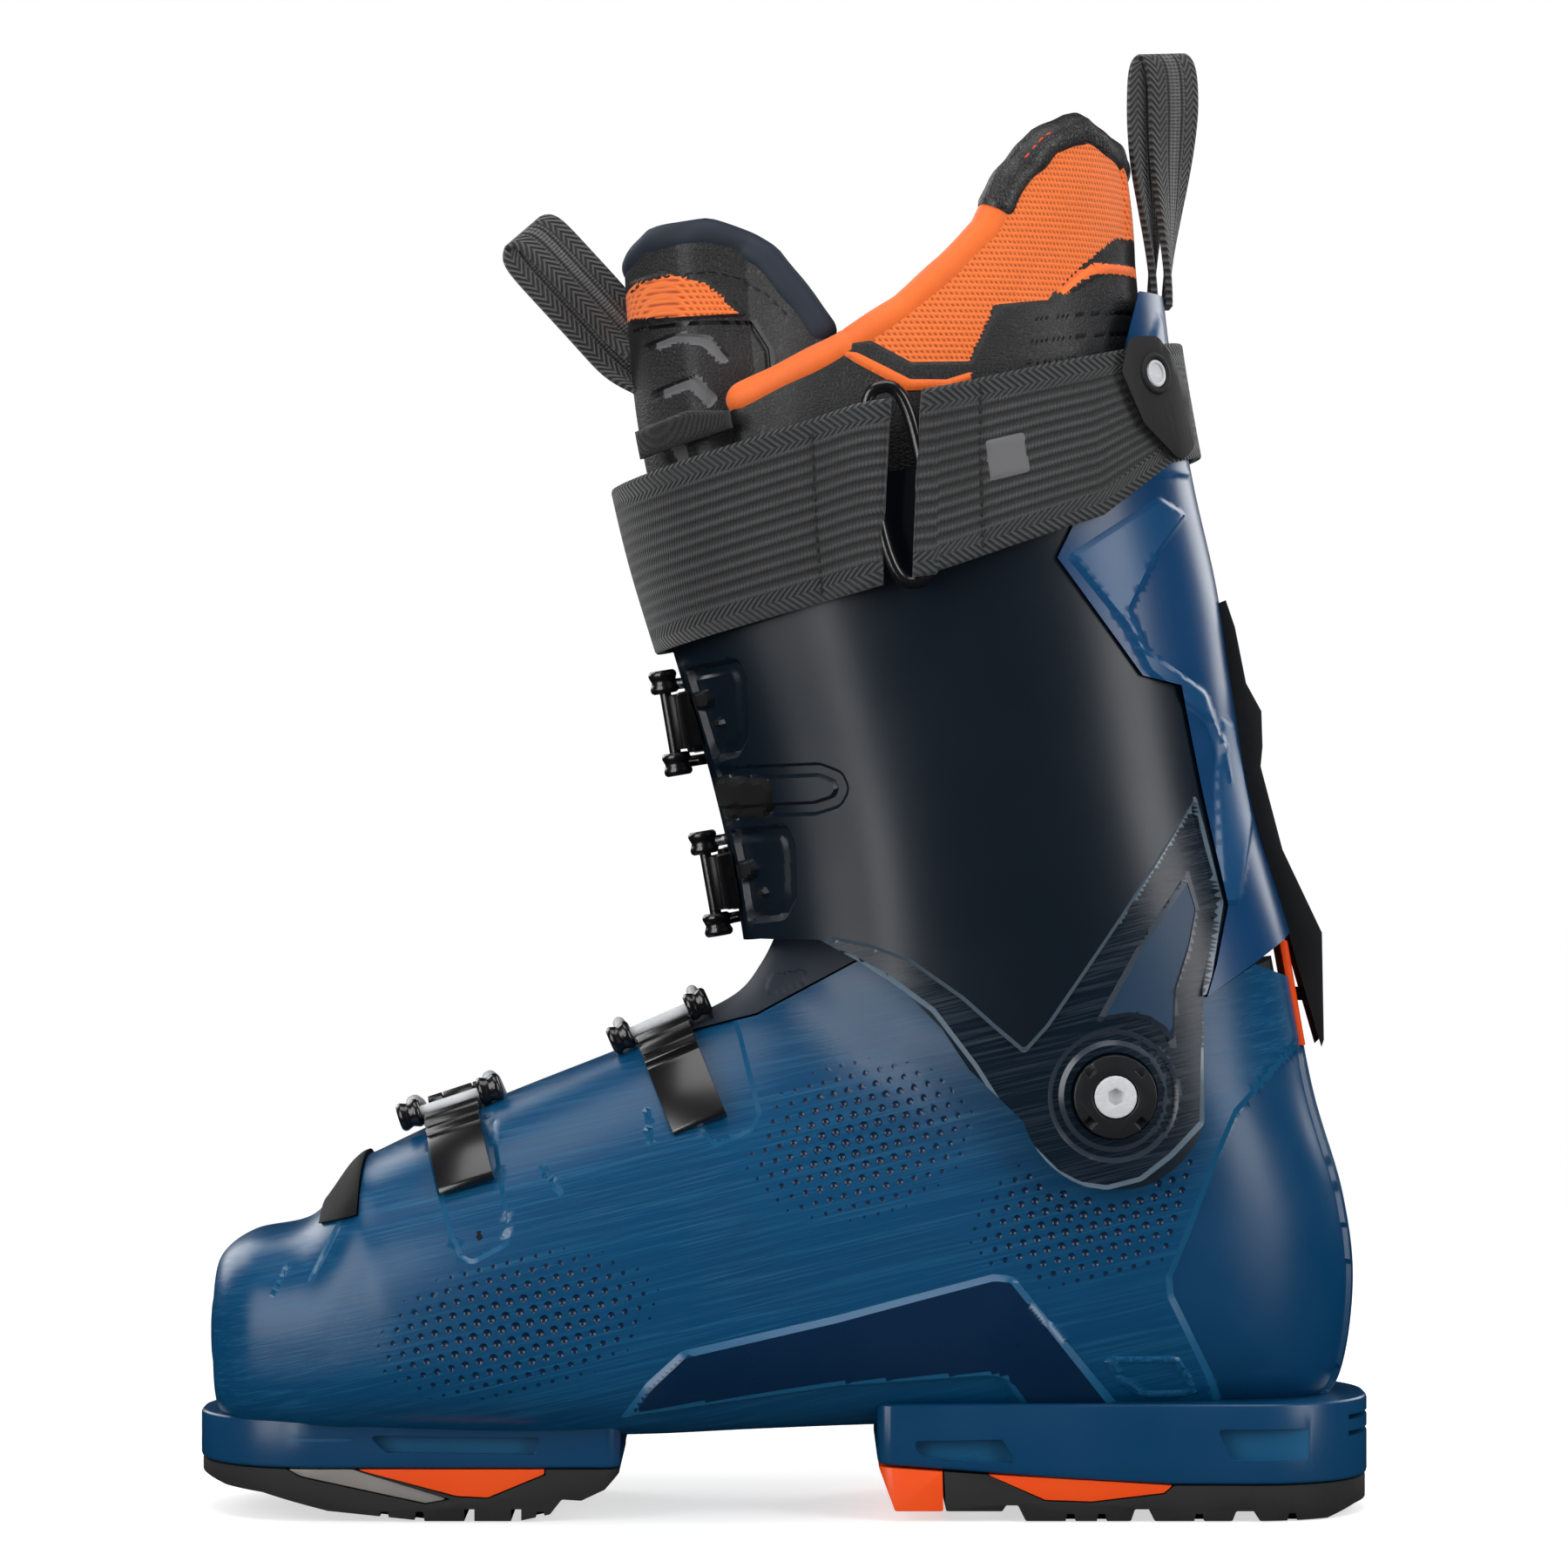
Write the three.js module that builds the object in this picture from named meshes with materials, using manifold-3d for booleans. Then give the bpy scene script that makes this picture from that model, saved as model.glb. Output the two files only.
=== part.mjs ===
// A right-foot alpine ski boot: hard lower shell and hinged cuff, four buckles, power strap, padded liner
// and screwed-on walking soles. Millimetres, +Z up. The toe points along -X and the inner (medial) side
// along -Y. Lengths below are measured from the middle of the sole, and the finished boot is then moved so that
// the origin is the middle of the heel's flat rest face.
import * as THREE from "three";
import { mergeVertices } from "three/addons/utils/BufferGeometryUtils.js";
import Module from "manifold-3d";

const wasm = await Module();
wasm.setup();

// ---------------------------------------------------------------- driving dimensions
const soleLength = 305; // toe lug to heel lug, as moulded into the shell
const soleWidth = 69; // both lugs, as bindings need
const lastWidth = 98; // foot width across the ball that the shell is made for
const cuffHeight = 316; // ground to the top of the spine

const shellWall = 4.5;
const cuffWall = 4.2;
const spineRaise = 1.2; // how far the spine stands over the cuff
const linerWall = 8;
const strapThickness = 2.6;
const strapLift = 2.0; // from the cuff's surface to the strap's inner face
const tabThickness = 2.4;

const toeLugTop = 26;
const toeLugBottom = 13.5;
const heelLugTop = 30;

const gap = 0.35; // between pieces that touch
const flexClearance = 0.6; // between the shell and the cuff's inside, at every flex angle
const flexRange = 4; // degrees of forward flex

const pivotX = 84;
const pivotZ = 109.7;
const bushHeadRadius = 10.6;
const bushShankRadius = 7.6;
const turningGap = 0.6; // round the bush, in the cuff
const seatGap = 0.4; // round the bush, in the shell
const pivotBossRadius = bushHeadRadius + turningGap + 5.8;
const pivotScrewRadius = 5.4;
const pivotBossRaise = 1.3; // over the cuff's surface
const heelRestX = 102; // the flat the boot stands on, between two grooves of the heel sole

const leverWidth = 16.4;
const leverLength = 54; // from the hinge pin to the tip
const leverPinHeight = 7.4; // over the shell
const bailReach = 12; // from the hinge pin to the bail's pegs
const wireRadius = 1.5;
const armClearance = 0.8; // from the lever to each arm of the bail
const bailSpacing = leverWidth + 2 * (armClearance + wireRadius); // between the arms' centres
const sleeveRadius = 3.6;
const sleeveLength = 6;
const rackWidth = 14.4;
const toothPitch = 6.2;
const toothHeight = 1.7;
const toothFoot = 2.4;
const toothClearance = 1.4; // beside the bail's bar, which lifts off past the tooth
const buckleToStrap = 5; // from the upper bail to the strap
const cuffBuckleSpacing = 42;
const basePlateWidth = leverWidth + 4.6;
const lugWidth = 8;

const ringPoints = 28; // round each loft section
const cylinderSides = 24;
const smallSides = 14;

// The outlines and tables below are drawn for these sizes, and scale with the driving ones.
const drawn = { soleLength: 305, lastWidth: 98, cuffHeight: 316 };
const along = soleLength / drawn.soleLength;
const across = lastWidth / drawn.lastWidth;
const upward = cuffHeight / drawn.cuffHeight;

const pivot = new THREE.Vector2(pivotX * along, pivotZ * upward);

// ---------------------------------------------------------------- solids and geometry
function toSolid(geometry) {
  const plain = geometry.clone();
  plain.deleteAttribute("normal");
  plain.deleteAttribute("uv");
  const merged = mergeVertices(plain, 1e-4);
  return new wasm.Manifold(
    new wasm.Mesh({
      numProp: 3,
      vertProperties: new Float32Array(merged.attributes.position.array),
      triVerts: new Uint32Array(merged.index.array),
    }),
  );
}

function toGeometry(solid) {
  const mesh = solid.getMesh();
  const geometry = new THREE.BufferGeometry();
  const points = new Float32Array(mesh.numVert * 3);
  for (let i = 0; i < mesh.numVert; i++) {
    points.set(mesh.vertProperties.subarray(i * mesh.numProp, i * mesh.numProp + 3), i * 3);
  }
  geometry.setAttribute("position", new THREE.BufferAttribute(points, 3));
  geometry.setIndex(new THREE.BufferAttribute(mesh.triVerts, 1));
  geometry.computeVertexNormals();
  return geometry;
}

// The biggest of a solid's separate bodies, which drops slivers that a cut leaves.
function mainBody(solid) {
  return solid.decompose().reduce((a, b) => (a.volume() > b.volume() ? a : b));
}

function extrude(points, depth) {
  return new THREE.ExtrudeGeometry(new THREE.Shape(points), { depth, bevelEnabled: false });
}

// A side-view outline, points of x and z, made solid from y0 to y1.
function slab(points, y0 = -90, y1 = 90) {
  return toSolid(extrude(points, y1 - y0).rotateX(Math.PI / 2).translate(0, y1, 0));
}

// A plan-view outline, points of x and y, made solid from z0 to z1.
function plate(points, z0, z1) {
  return toSolid(extrude(points, z1 - z0).translate(0, 0, z0));
}

function side(points) {
  return points.map(([x, z]) => new THREE.Vector2(x * along, z * upward));
}

// The same for the soles and lugs, whose heights are standard.
function ground(points) {
  return points.map(([x, z]) => new THREE.Vector2(x * along, z));
}

// A cylinder along Y from y0 to y1, in side-view place x, z.
function crossPin(radius, y0, y1, x, z, sides = cylinderSides) {
  const geometry = new THREE.CylinderGeometry(radius, radius, Math.abs(y1 - y0), sides);
  return toSolid(geometry.translate(x, (y0 + y1) / 2, z));
}

// ---------------------------------------------------------------- lofts through tilted sections
// A row is one section. It runs from its outer end (sole, heel or rear) to its inner end (instep or front):
// [outer x, outer z, inner x, inner z, medial half width, lateral half width,
//  widest place as a share of the chord, power of the outer half, power of the inner half]
function sectionsOf(rows, steps) {
  const scaled = rows.map(([ox, oz, ix, iz, medial, lateral, ...shape]) => [
    ox * along, oz * upward, ix * along, iz * upward, medial * across, lateral * across, ...shape,
  ]);
  const tracks = [0, 3, 6].map((first) => {
    const points = scaled.map((row) => new THREE.Vector3(row[first], row[first + 1], row[first + 2]));
    return new THREE.CatmullRomCurve3(points, false, "catmullrom", 0.5);
  });
  const at = (t) => new Section(tracks.flatMap((track) => track.getPoint(t).toArray()));
  return { at, list: Array.from({ length: steps + 1 }, (_, k) => at(k / steps)) };
}

class Section {
  constructor([ox, oz, ix, iz, medial, lateral, widest, outerPower, innerPower]) {
    this.origin = new THREE.Vector3(ox, 0, oz);
    this.chord = new THREE.Vector3(ix - ox, 0, iz - oz);
    this.length = this.chord.length();
    this.direction = this.chord.clone().normalize();
    Object.assign(this, { medial, lateral, widest, outerPower, innerPower });
  }

  // In the section's plane, at an angle from the lateral side towards the inner end: y, and the way from the outer end.
  flat(angle, offset) {
    const c = Math.cos(angle);
    const s = Math.sin(angle);
    const power = 2 / (s >= 0 ? this.innerPower : this.outerPower);
    const half = (c >= 0 ? this.lateral : this.medial) + offset;
    const middle = this.length * this.widest;
    const reach = s >= 0 ? this.length - middle + offset : middle + offset;
    return new THREE.Vector2(
      Math.sign(c) * half * Math.abs(c) ** power,
      middle + Math.sign(s) * reach * Math.abs(s) ** power,
    );
  }

  ring(offset) {
    return Array.from({ length: ringPoints }, (_, k) => {
      const p = this.flat((2 * Math.PI * k) / ringPoints, offset);
      return this.origin.clone().addScaledVector(this.direction, p.y).setY(p.x);
    });
  }
}

function loft(sections, offset) {
  const rings = sections.map((section) => section.ring(offset));
  const n = ringPoints;
  const centre = (ring) =>
    ring.reduce((sum, p) => sum.add(p), new THREE.Vector3()).divideScalar(n);
  const points = [...rings.flat(), centre(rings[0]), centre(rings.at(-1))];
  const first = rings.length * n;
  const faces = [];
  for (let j = 0; j < n; j++) {
    const next = (j + 1) % n;
    for (let k = 0; k + 1 < rings.length; k++) {
      const [a, b, c, d] = [k * n + j, k * n + next, (k + 1) * n + next, (k + 1) * n + j];
      faces.push(a, b, c, a, c, d);
    }
    faces.push(first, next, j, first + 1, first - n + j, first - n + next);
  }
  const geometry = new THREE.BufferGeometry().setFromPoints(points);
  geometry.setIndex(faces);
  return toSolid(geometry);
}

// ---------------------------------------------------------------- shell, cuff and liner tables
const shellRows = [
  [-148, 33, -148, 58, 13, 10, 0.5, 2.4, 2.4],
  [-146.5, 25, -147, 66, 27, 24, 0.46, 2.8, 2.5],
  [-137, 22, -139, 72, 38, 35, 0.44, 3.2, 2.6],
  [-118, 21, -123.5, 76, 44.5, 43.5, 0.43, 3.4, 2.5],
  [-104, 20.8, -112.5, 89.5, 47.3, 47.5, 0.42, 3.4, 2.5],
  [-88, 20.5, -106, 93, 49, 50.5, 0.42, 3.4, 2.4],
  [-62, 20, -88, 101.5, 50, 53, 0.42, 3.4, 2.3],
  [-34, 20, -66, 110.5, 49, 53, 0.42, 3.2, 2.2],
  [-5, 21, -42, 120, 46, 50, 0.42, 3, 2.1],
  [30, 22, -24, 128, 43, 46, 0.42, 2.9, 2],
  [70, 22, -12, 134.5, 41, 43.5, 0.42, 2.8, 2],
  [110, 23, -6, 142, 41, 43, 0.42, 2.6, 2],
  [134, 25.5, -2, 150, 41.5, 43.5, 0.44, 2.5, 2.1],
  [145, 33, 1, 158, 42, 44, 0.46, 2.3, 2.1],
  [149.2, 58, 3, 166, 42.5, 44.5, 0.48, 2.2, 2.2],
  [146.5, 82, 4, 173, 43, 45, 0.5, 2.2, 2.2],
  [138.5, 110, 4, 180, 43, 45, 0.5, 2.2, 2.2],
  [131.5, 148, 1, 192, 43, 45, 0.5, 2.2, 2.2],
];
const shellLoft = sectionsOf(shellRows, 26);
const footLoft = sectionsOf(shellRows, 14); // for the foot liner's inside

const cuffRows = [
  [150, 92, -28, 76, 49.5, 51.5, 0.5, 2.3, 2.4],
  [140, 120, -20, 102, 49.5, 51.5, 0.5, 2.3, 2.4],
  [131.5, 150, -10, 130, 50, 52, 0.5, 2.3, 2.4],
  [121.5, 183, -12.5, 160, 50, 52, 0.5, 2.3, 2.3],
  [116, 215, -19, 190, 50, 52, 0.5, 2.3, 2.3],
  [112, 241, -28, 220, 50.5, 52.5, 0.5, 2.3, 2.3],
  [106, 268, -37, 250, 51, 53, 0.5, 2.3, 2.3],
  [100, 302, -44, 282, 51, 53, 0.5, 2.3, 2.3],
  [97, 330, -48, 310, 50, 52, 0.5, 2.3, 2.3],
];
const cuffLoft = sectionsOf(cuffRows, 16);

const linerRows = [
  [126, 150, -4.6, 131, 44.5, 46.5, 0.5, 2.3, 2.3],
  [116, 183, -7, 160.5, 44.5, 46.5, 0.5, 2.3, 2.3],
  [110.5, 215, -13.5, 191, 44.5, 46.5, 0.5, 2.3, 2.3],
  [106.5, 241, -22.5, 221, 45, 47, 0.5, 2.3, 2.3],
  [100.5, 268, -31.5, 251, 45.5, 47.5, 0.5, 2.3, 2.3],
  [94.5, 302, -38.5, 282, 45.5, 47.5, 0.5, 2.3, 2.3],
  [91.5, 332, -41.5, 312, 44, 46, 0.5, 2.3, 2.3],
  [88, 366, -43, 346, 42, 44, 0.5, 2.3, 2.3],
];
const linerLoft = sectionsOf(linerRows, 14);

// ---------------------------------------------------------------- side-view outlines
// The rigid shell is open above this line: the throat over the instep, then the collar round the ankle.
const collarLine = side([
  [-48, 118.4], [-7, 129], [19, 143.4], [60, 150], [92, 138], [108, 134.4], [132.5, 149.4],
]);
const cuffLowerEdge = side([[-26, 146], [-6, 149], [9, 149.2], [19, 143.8], [31, 136], [40, 127], [47, 116.5]]);
const spineFoot = side([[107, 134.9], [132.8, 150.8], [150, 150.8]]);
const spineEdge = side([
  [108, 134.9], [110.5, 143], [113.8, 158], [107.4, 186.5], [101.8, 214.3], [91.5, 216.7], [69.4, 246.5],
  [80, 268], [88, 303], [91.5, 316], [102, 316],
]);
const strapFrontFoot = 223; // height of the strap's lower edge at the front
const strapBand = side([
  [-75, 257], [-44, 265.5], [18.7, 284.7], [94, 302], [130, 310],
  [130, 281], [96, 271], [79, 257], [40.7, 243.5], [-32, strapFrontFoot], [-75, 213],
]);
const linerTop = side([
  [-18.8, 285.5], [-4, 292], [13, 300], [31, 311], [44, 322], [54, 332], [60, 344], [70, 355], [79, 359],
  [88, 354], [93, 340], [96, 312],
]);

function cuffOutline() {
  const reach = pivotBossRadius + 7; // of the round foot below the pivot
  const round = Array.from({ length: 9 }, (_, k) => {
    const angle = THREE.MathUtils.degToRad(196 + k * 18.5);
    return new THREE.Vector2(pivot.x + reach * Math.cos(angle), pivot.y + reach * Math.sin(angle));
  });
  return [...cuffLowerEdge, ...round, ...spineFoot, ...side([[150, 300], [88, 286], [40, 270], [-70, 255]])];
}

// ---------------------------------------------------------------- soles and lugs
function lugPlan(front, rear, noseRadius, tailRadius, inset = 0) {
  const half = soleWidth / 2 - inset;
  const corner = (cx, cy, radius, from, to) => {
    const n = 6;
    return Array.from({ length: n + 1 }, (_, k) => {
      const angle = THREE.MathUtils.degToRad(from + ((to - from) * k) / n);
      return new THREE.Vector2(cx + radius * Math.cos(angle), cy + radius * Math.sin(angle));
    });
  };
  const nose = Math.min(noseRadius, half);
  const tail = Math.min(tailRadius, half);
  const [x0, x1] = [front + inset, rear - inset];
  return [
    ...corner(x1 - tail, -half + tail, tail, -90, 0),
    ...corner(x1 - tail, half - tail, tail, 0, 90),
    ...corner(x0 + nose, half - nose, nose, 90, 180),
    ...corner(x0 + nose, -half + nose, nose, 180, 270),
  ];
}

const toePlan = (inset = 0) => lugPlan(-soleLength / 2, -42 * along, 32, 4, inset);
const heelPlan = (inset = 0) => lugPlan(24 * along, soleLength / 2, 4, 31, inset);

const toeSoleLine = [
  [-153, 13.5], [-153, 10.5], [-144, 8], [-134, 7], [-117, 2.6], [-92, 0], [-68, 0],
  [-60, 1.7], [-57, 5.5], [-52, 5.2], [-46, 8], [-41, 13.5],
];
const toeInsertLine = [[-111, 13.5], [-61.5, 13.5], [-61.5, 12], [-76, 6], [-84, 6.4]];
const toeGlideLine = [[-128, 13.5], [-112, 13.5], [-86, 5.6], [-92, 4.6], [-124, 11.5]];
const heelShellLine = [[22, 14.7], [70, 11], [100, 9.4], [160, 9.2], [160, heelLugTop], [22, heelLugTop]];
const heelSoleLine = [
  [41.5, 2.5], [56, 2.5], [57, 4], [60, 4], [62, 0], [89, 0], [90, 3], [94, 3], [95, 0], [115, 0],
  [116, 2.5], [121, 2.5], [122, 0], [140, 0], [148, 2.6], [160, 4], [160, 9.2], [100, 9.4], [70, 11], [41, 13.2],
];
const heelBlockLine = [[24, 14.5], [40.6, 13.2], [40.9, 2.5], [28.5, 2.5]];
const heelWedgeLine = [[51, 12.4], [70, 11], [100, 9.4], [97.5, 7.2], [79, 5], [67, 5.4]];

function soleBlock(line, plan, minus = []) {
  const top = 40;
  const body = slab(ground(line)).intersect(plate(plan, -1, top));
  return mainBody(minus.reduce((left, cut) => left.subtract(cut), body));
}

// A side-view outline with every edge moved out by a distance.
function grown(points, by) {
  const turn = Math.sign(THREE.ShapeUtils.area(points));
  const outward = (k) => {
    const edge = points[(k + 1) % points.length].clone().sub(points[(k + points.length) % points.length]).normalize();
    return new THREE.Vector2(edge.y, -edge.x).multiplyScalar(turn);
  };
  return points.map((p, k) => {
    const [before, after] = [outward(k + points.length - 1 - (k ? points.length : 0)), outward(k)];
    const reach = by / Math.max(0.3, 1 + before.dot(after));
    return p.clone().addScaledVector(before.add(after), reach);
  });
}

// ---------------------------------------------------------------- assembly helpers
const finishes = {
  shellBlue: { color: 0x17466e, roughness: 0.42 },
  cuffNavy: { color: 0x1c2733, roughness: 0.38 },
  spineBlue: { color: 0x0f4a86, roughness: 0.35 },
  softNavy: { color: 0x232b38, roughness: 0.7 },
  rubber: { color: 0x1d1d1d, roughness: 0.85 },
  orange: { color: 0xf2560f, roughness: 0.5 },
  glide: { color: 0xb9bcc0, roughness: 0.4 },
  blackMetal: { color: 0x141414, roughness: 0.35, metalness: 0.6 },
  steel: { color: 0xb8bcc0, roughness: 0.25, metalness: 1 },
  blackPlastic: { color: 0x161616, roughness: 0.45 },
  webbing: { color: 0x1b1c1e, roughness: 0.9 },
  linerFabric: { color: 0xd9602b, roughness: 0.9 },
  linerBlack: { color: 0x1a1a1b, roughness: 0.8 },
  board: { color: 0x3a3d42, roughness: 0.8 },
};

const boot = new THREE.Group();

function add(name, solid, finish, parent = boot) {
  const material = new THREE.MeshStandardMaterial(finishes[finish]);
  const mesh = new THREE.Mesh(toGeometry(solid), material);
  mesh.name = name;
  parent.add(mesh);
  return mesh;
}

// ---------------------------------------------------------------- lower shell and what is fixed to it
const shellOuter = loft(shellLoft.list, 0);
const shellInner = loft(shellLoft.list, -shellWall);
const shellEnvelope = loft(shellLoft.list, gap);
const toeLug = plate(toePlan(), toeLugBottom, toeLugTop);
const heelLug = slab(ground(heelShellLine)).intersect(plate(heelPlan(), 0, heelLugTop));
const everythingAbove = 400;
const openingAbove = slab([
  ...collarLine,
  new THREE.Vector2(200, 149.4 * upward),
  new THREE.Vector2(200, everythingAbove),
  new THREE.Vector2(-48 * along, everythingAbove),
]);

const screwHoleRadius = 2.3;
const screwHeadRadius = 4.2;
const toeScrewPlaces = [[-132, 14], [-132, -14], [-58, 22], [-58, -22]];
const heelScrewPlaces = [[50, 20], [50, -20], [133, 14], [133, -14]];
const screwDepth = 9; // into the lug above the sole plate

// One sole screw: a pan head below the sole plate's ledge and a shank up into the lug.
function soleScrew([x, y], ledge) {
  const head = new THREE.CylinderGeometry(screwHeadRadius, screwHeadRadius, 2.4, smallSides);
  const shank = new THREE.CylinderGeometry(screwHoleRadius - 0.3, screwHoleRadius - 0.3, screwDepth, smallSides);
  head.rotateX(Math.PI / 2).translate(x * along, y, ledge - 1.5);
  shank.rotateX(Math.PI / 2).translate(x * along, y, ledge - 0.5 + screwDepth / 2);
  return toSolid(head).add(toSolid(shank));
}

function screwPocket([x, y], ledge) {
  const head = new THREE.CylinderGeometry(screwHeadRadius + 0.4, screwHeadRadius + 0.4, 20, smallSides);
  const shank = new THREE.CylinderGeometry(screwHoleRadius, screwHoleRadius, 20, smallSides);
  head.rotateX(Math.PI / 2).translate(x * along, y, ledge - 10);
  shank.rotateX(Math.PI / 2).translate(x * along, y, ledge + 5 - 0.1);
  return toSolid(head).add(toSolid(shank));
}

const toeLedge = 10; // height where the toe screws' heads seat
const heelLedge = 7;
const toePockets = toeScrewPlaces.map((place) => screwPocket(place, toeLedge));
const heelPockets = heelScrewPlaces.map((place) => screwPocket(place, heelLedge));
const shankHoles = [...toePockets, ...heelPockets];

const toeSealOutline = side([[-119.8, 76], [-119.8, 84], [-112.6, 100], [-109.2, 100], [-109.2, 79]]);
const slit = { from: -112, to: -47, y: 17, width: 1.4, floor: 74 };
const overlapSlit = slab(
  side([[slit.from, slit.floor], [slit.to, slit.floor], [slit.to, 140], [slit.from, 140]]),
  slit.y * across,
  slit.y * across + slit.width,
);
const pivotHoles = crossPin(bushShankRadius + seatGap, -80, 80, pivot.x, pivot.y);

function sidePocket(line, depth) {
  const shape = ground(line);
  const inner = soleWidth / 2 - depth;
  return slab(shape, -80, -inner).add(slab(shape, inner, 80));
}

const lugPockets = [
  sidePocket([[-107, 22], [-102, 17.5], [-64, 17], [-62, 21.5]], 3),
  sidePocket([[111, 23.5], [115, 15.5], [142, 15.5], [137, 23.5]], 3),
  sidePocket([[33, 20.5], [35, 16.5], [60, 14.5], [56, 21]], 3),
];

function lowerShell() {
  const hollow = shellOuter.add(toeLug).add(heelLug).subtract(shellInner);
  const cuts = [
    openingAbove, overlapSlit, pivotHoles, slab(grown(toeSealOutline, gap), -44, 44), ...lugPockets, ...shankHoles,
  ];
  return mainBody(cuts.reduce((left, cut) => left.subtract(cut), hollow));
}

const shell = add("lower_shell", lowerShell(), "shellBlue");

const shellSkin = loft(shellLoft.list, 1.2).subtract(shellInner);
add("toe_seal", mainBody(shellSkin.intersect(slab(toeSealOutline, -43, 43))), "rubber");

// The soft panel that bridges the throat under the cuff's front.
const instepOutline = side([[-47, 118.9], [-7, 129.6], [19, 144], [26, 146], [2, 166], [-30, 160], [-60, 124]]);
const shellWallSolid = shellOuter.subtract(shellInner);
add("instep_insert", mainBody(shellWallSolid.intersect(slab(instepOutline))), "softNavy");

// ---------------------------------------------------------------- soles
const cutFrom = (body, cuts) => mainBody(cuts.reduce((left, cut) => left.subtract(cut), body));
const toeUnder = plate(toePlan(), -1, toeLugBottom - gap);
const heelUnder = slab(ground([[0, -2], [170, -2], [170, 9.2 - gap], [100, 9.4 - gap], [70, 11 - gap], [0, 15.8]]));
const toeGrooves = [-70, -82].map((x) => slab(ground([[x, -1], [x + 3, -1], [x + 3, 3], [x, 3]])));
const pocketFor = (line) => slab(grown(ground(line), gap));

const toeSole = soleBlock(toeSoleLine, toePlan(0.4), [pocketFor(toeInsertLine), pocketFor(toeGlideLine), ...toeGrooves]);
add("toe_sole", cutFrom(toeSole.intersect(toeUnder), toePockets), "rubber");
add("toe_sole_insert", cutFrom(soleBlock(toeInsertLine, toePlan(0.8)).intersect(toeUnder), toePockets), "orange");
add("toe_glide_plate", cutFrom(soleBlock(toeGlideLine, toePlan(0.8)).intersect(toeUnder), toePockets), "glide");

const heelSole = soleBlock(heelSoleLine, heelPlan(0.4), [pocketFor(heelWedgeLine)]);
add("heel_sole", cutFrom(heelSole.intersect(heelUnder), heelPockets), "rubber");
add("heel_sole_block", cutFrom(soleBlock(heelBlockLine, heelPlan(0.4)).intersect(heelUnder), heelPockets), "orange");
add("heel_sole_wedge", cutFrom(soleBlock(heelWedgeLine, heelPlan(0.8)).intersect(heelUnder), heelPockets), "orange");

toeScrewPlaces.forEach((place, k) => add(`toe_sole_screw_${k + 1}`, soleScrew(place, toeLedge), "steel"));
heelScrewPlaces.forEach((place, k) => add(`heel_sole_screw_${k + 1}`, soleScrew(place, heelLedge), "steel"));

// ---------------------------------------------------------------- inside the shell: board, foot liner, insole
const boardTop = [[-150, 30], [-40, 31], [30, 35], [160, 38]];
const above = (line, lift = 0) => slab([
  ...side(line.map(([x, z]) => [x, z + lift])),
  new THREE.Vector2(220, everythingAbove),
  new THREE.Vector2(-220, everythingAbove),
]);
const footOuter = loft(shellLoft.list, -shellWall - gap);
const footInner = loft(footLoft.list, -shellWall - gap - linerWall);
const footLinerTop = [[-150, 150], [-20, 156], [2, 160], [20, 151], [36, 147], [60, 145], [84, 140], [108, 134], [160, 160]];
const linerSole = 3;
const insoleThickness = 4;

add("boot_board", mainBody(footOuter.subtract(above(boardTop))), "board");
const footHollow = footInner.intersect(above(boardTop, gap + linerSole));
const footLiner = footOuter.intersect(above(boardTop, gap)).subtract(footHollow).subtract(above(footLinerTop));
add("liner_foot", mainBody(footLiner), "linerBlack");
const insoleSpace = loft(footLoft.list, -shellWall - 2 * gap - linerWall);
add("insole", mainBody(insoleSpace.intersect(above(boardTop, linerSole + 2 * gap))
  .subtract(above(boardTop, linerSole + 2 * gap + insoleThickness))), "linerFabric");

// ---------------------------------------------------------------- cuff and spine
const cuff = new THREE.Group();
boot.add(cuff);

function turned(solid, degrees) {
  return solid.translate(-pivot.x, 0, -pivot.y).rotate(0, degrees, 0).translate(pivot.x, 0, pivot.y);
}

const flexSpace = loft(shellLoft.list, flexClearance);
const flexSteps = 3;
const shellSweep = Array.from({ length: flexSteps + 1 }, (_, k) => turned(flexSpace, (flexRange * k) / flexSteps))
  .reduce((sum, solid) => sum.add(solid));

const sides = { medial: { sign: -1, cuff: 49.5, shell: 42.9 }, lateral: { sign: 1, cuff: 51.5, shell: 44.9 } };
const pivotBosses = Object.values(sides).map(({ sign, cuff: face }) =>
  crossPin(pivotBossRadius, sign * (face - cuffWall) * across, sign * (face + pivotBossRaise) * across, pivot.x, pivot.y),
);
const bushHoles = crossPin(bushHeadRadius + turningGap, -90, 90, pivot.x, pivot.y);
const spineRegion = [...spineEdge, ...side([[170, 316], [170, 150.8], [132.8, 150.8]])];
const frontSlit = slab(side([[-80, 100], [12, 100], [12, 300], [-80, 300]]), 12 * across, 13.6 * across);
const cuffInside = loft(cuffLoft.list, -cuffWall);
const cuffWallSolid = loft(cuffLoft.list, 0).subtract(cuffInside);

const linkScrews = {
  upper: { x: 124.6, z: 203, body: cuff },
  lower: { x: 140.6, z: 134, body: boot },
};
const linkScrewSpace = Object.values(linkScrews).map(({ x, z }) => linkScrew(x, z, gap));

// A screw along X, with its head's outer face at x.
function linkScrew(x, z, extra = 0) {
  const head = new THREE.CylinderGeometry(3.8 + extra, 3.8 + extra, 2.2 + 2 * extra, smallSides);
  const reach = 7 * along;
  const shank = new THREE.CylinderGeometry(1.8 + extra, 1.8 + extra, reach + 2 * extra, smallSides);
  head.rotateZ(Math.PI / 2).translate(x * along - 1.1, 0, z * upward);
  shank.rotateZ(Math.PI / 2).translate(x * along - 1.5 - reach / 2, 0, z * upward);
  return toSolid(head).add(toSolid(shank));
}

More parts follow.
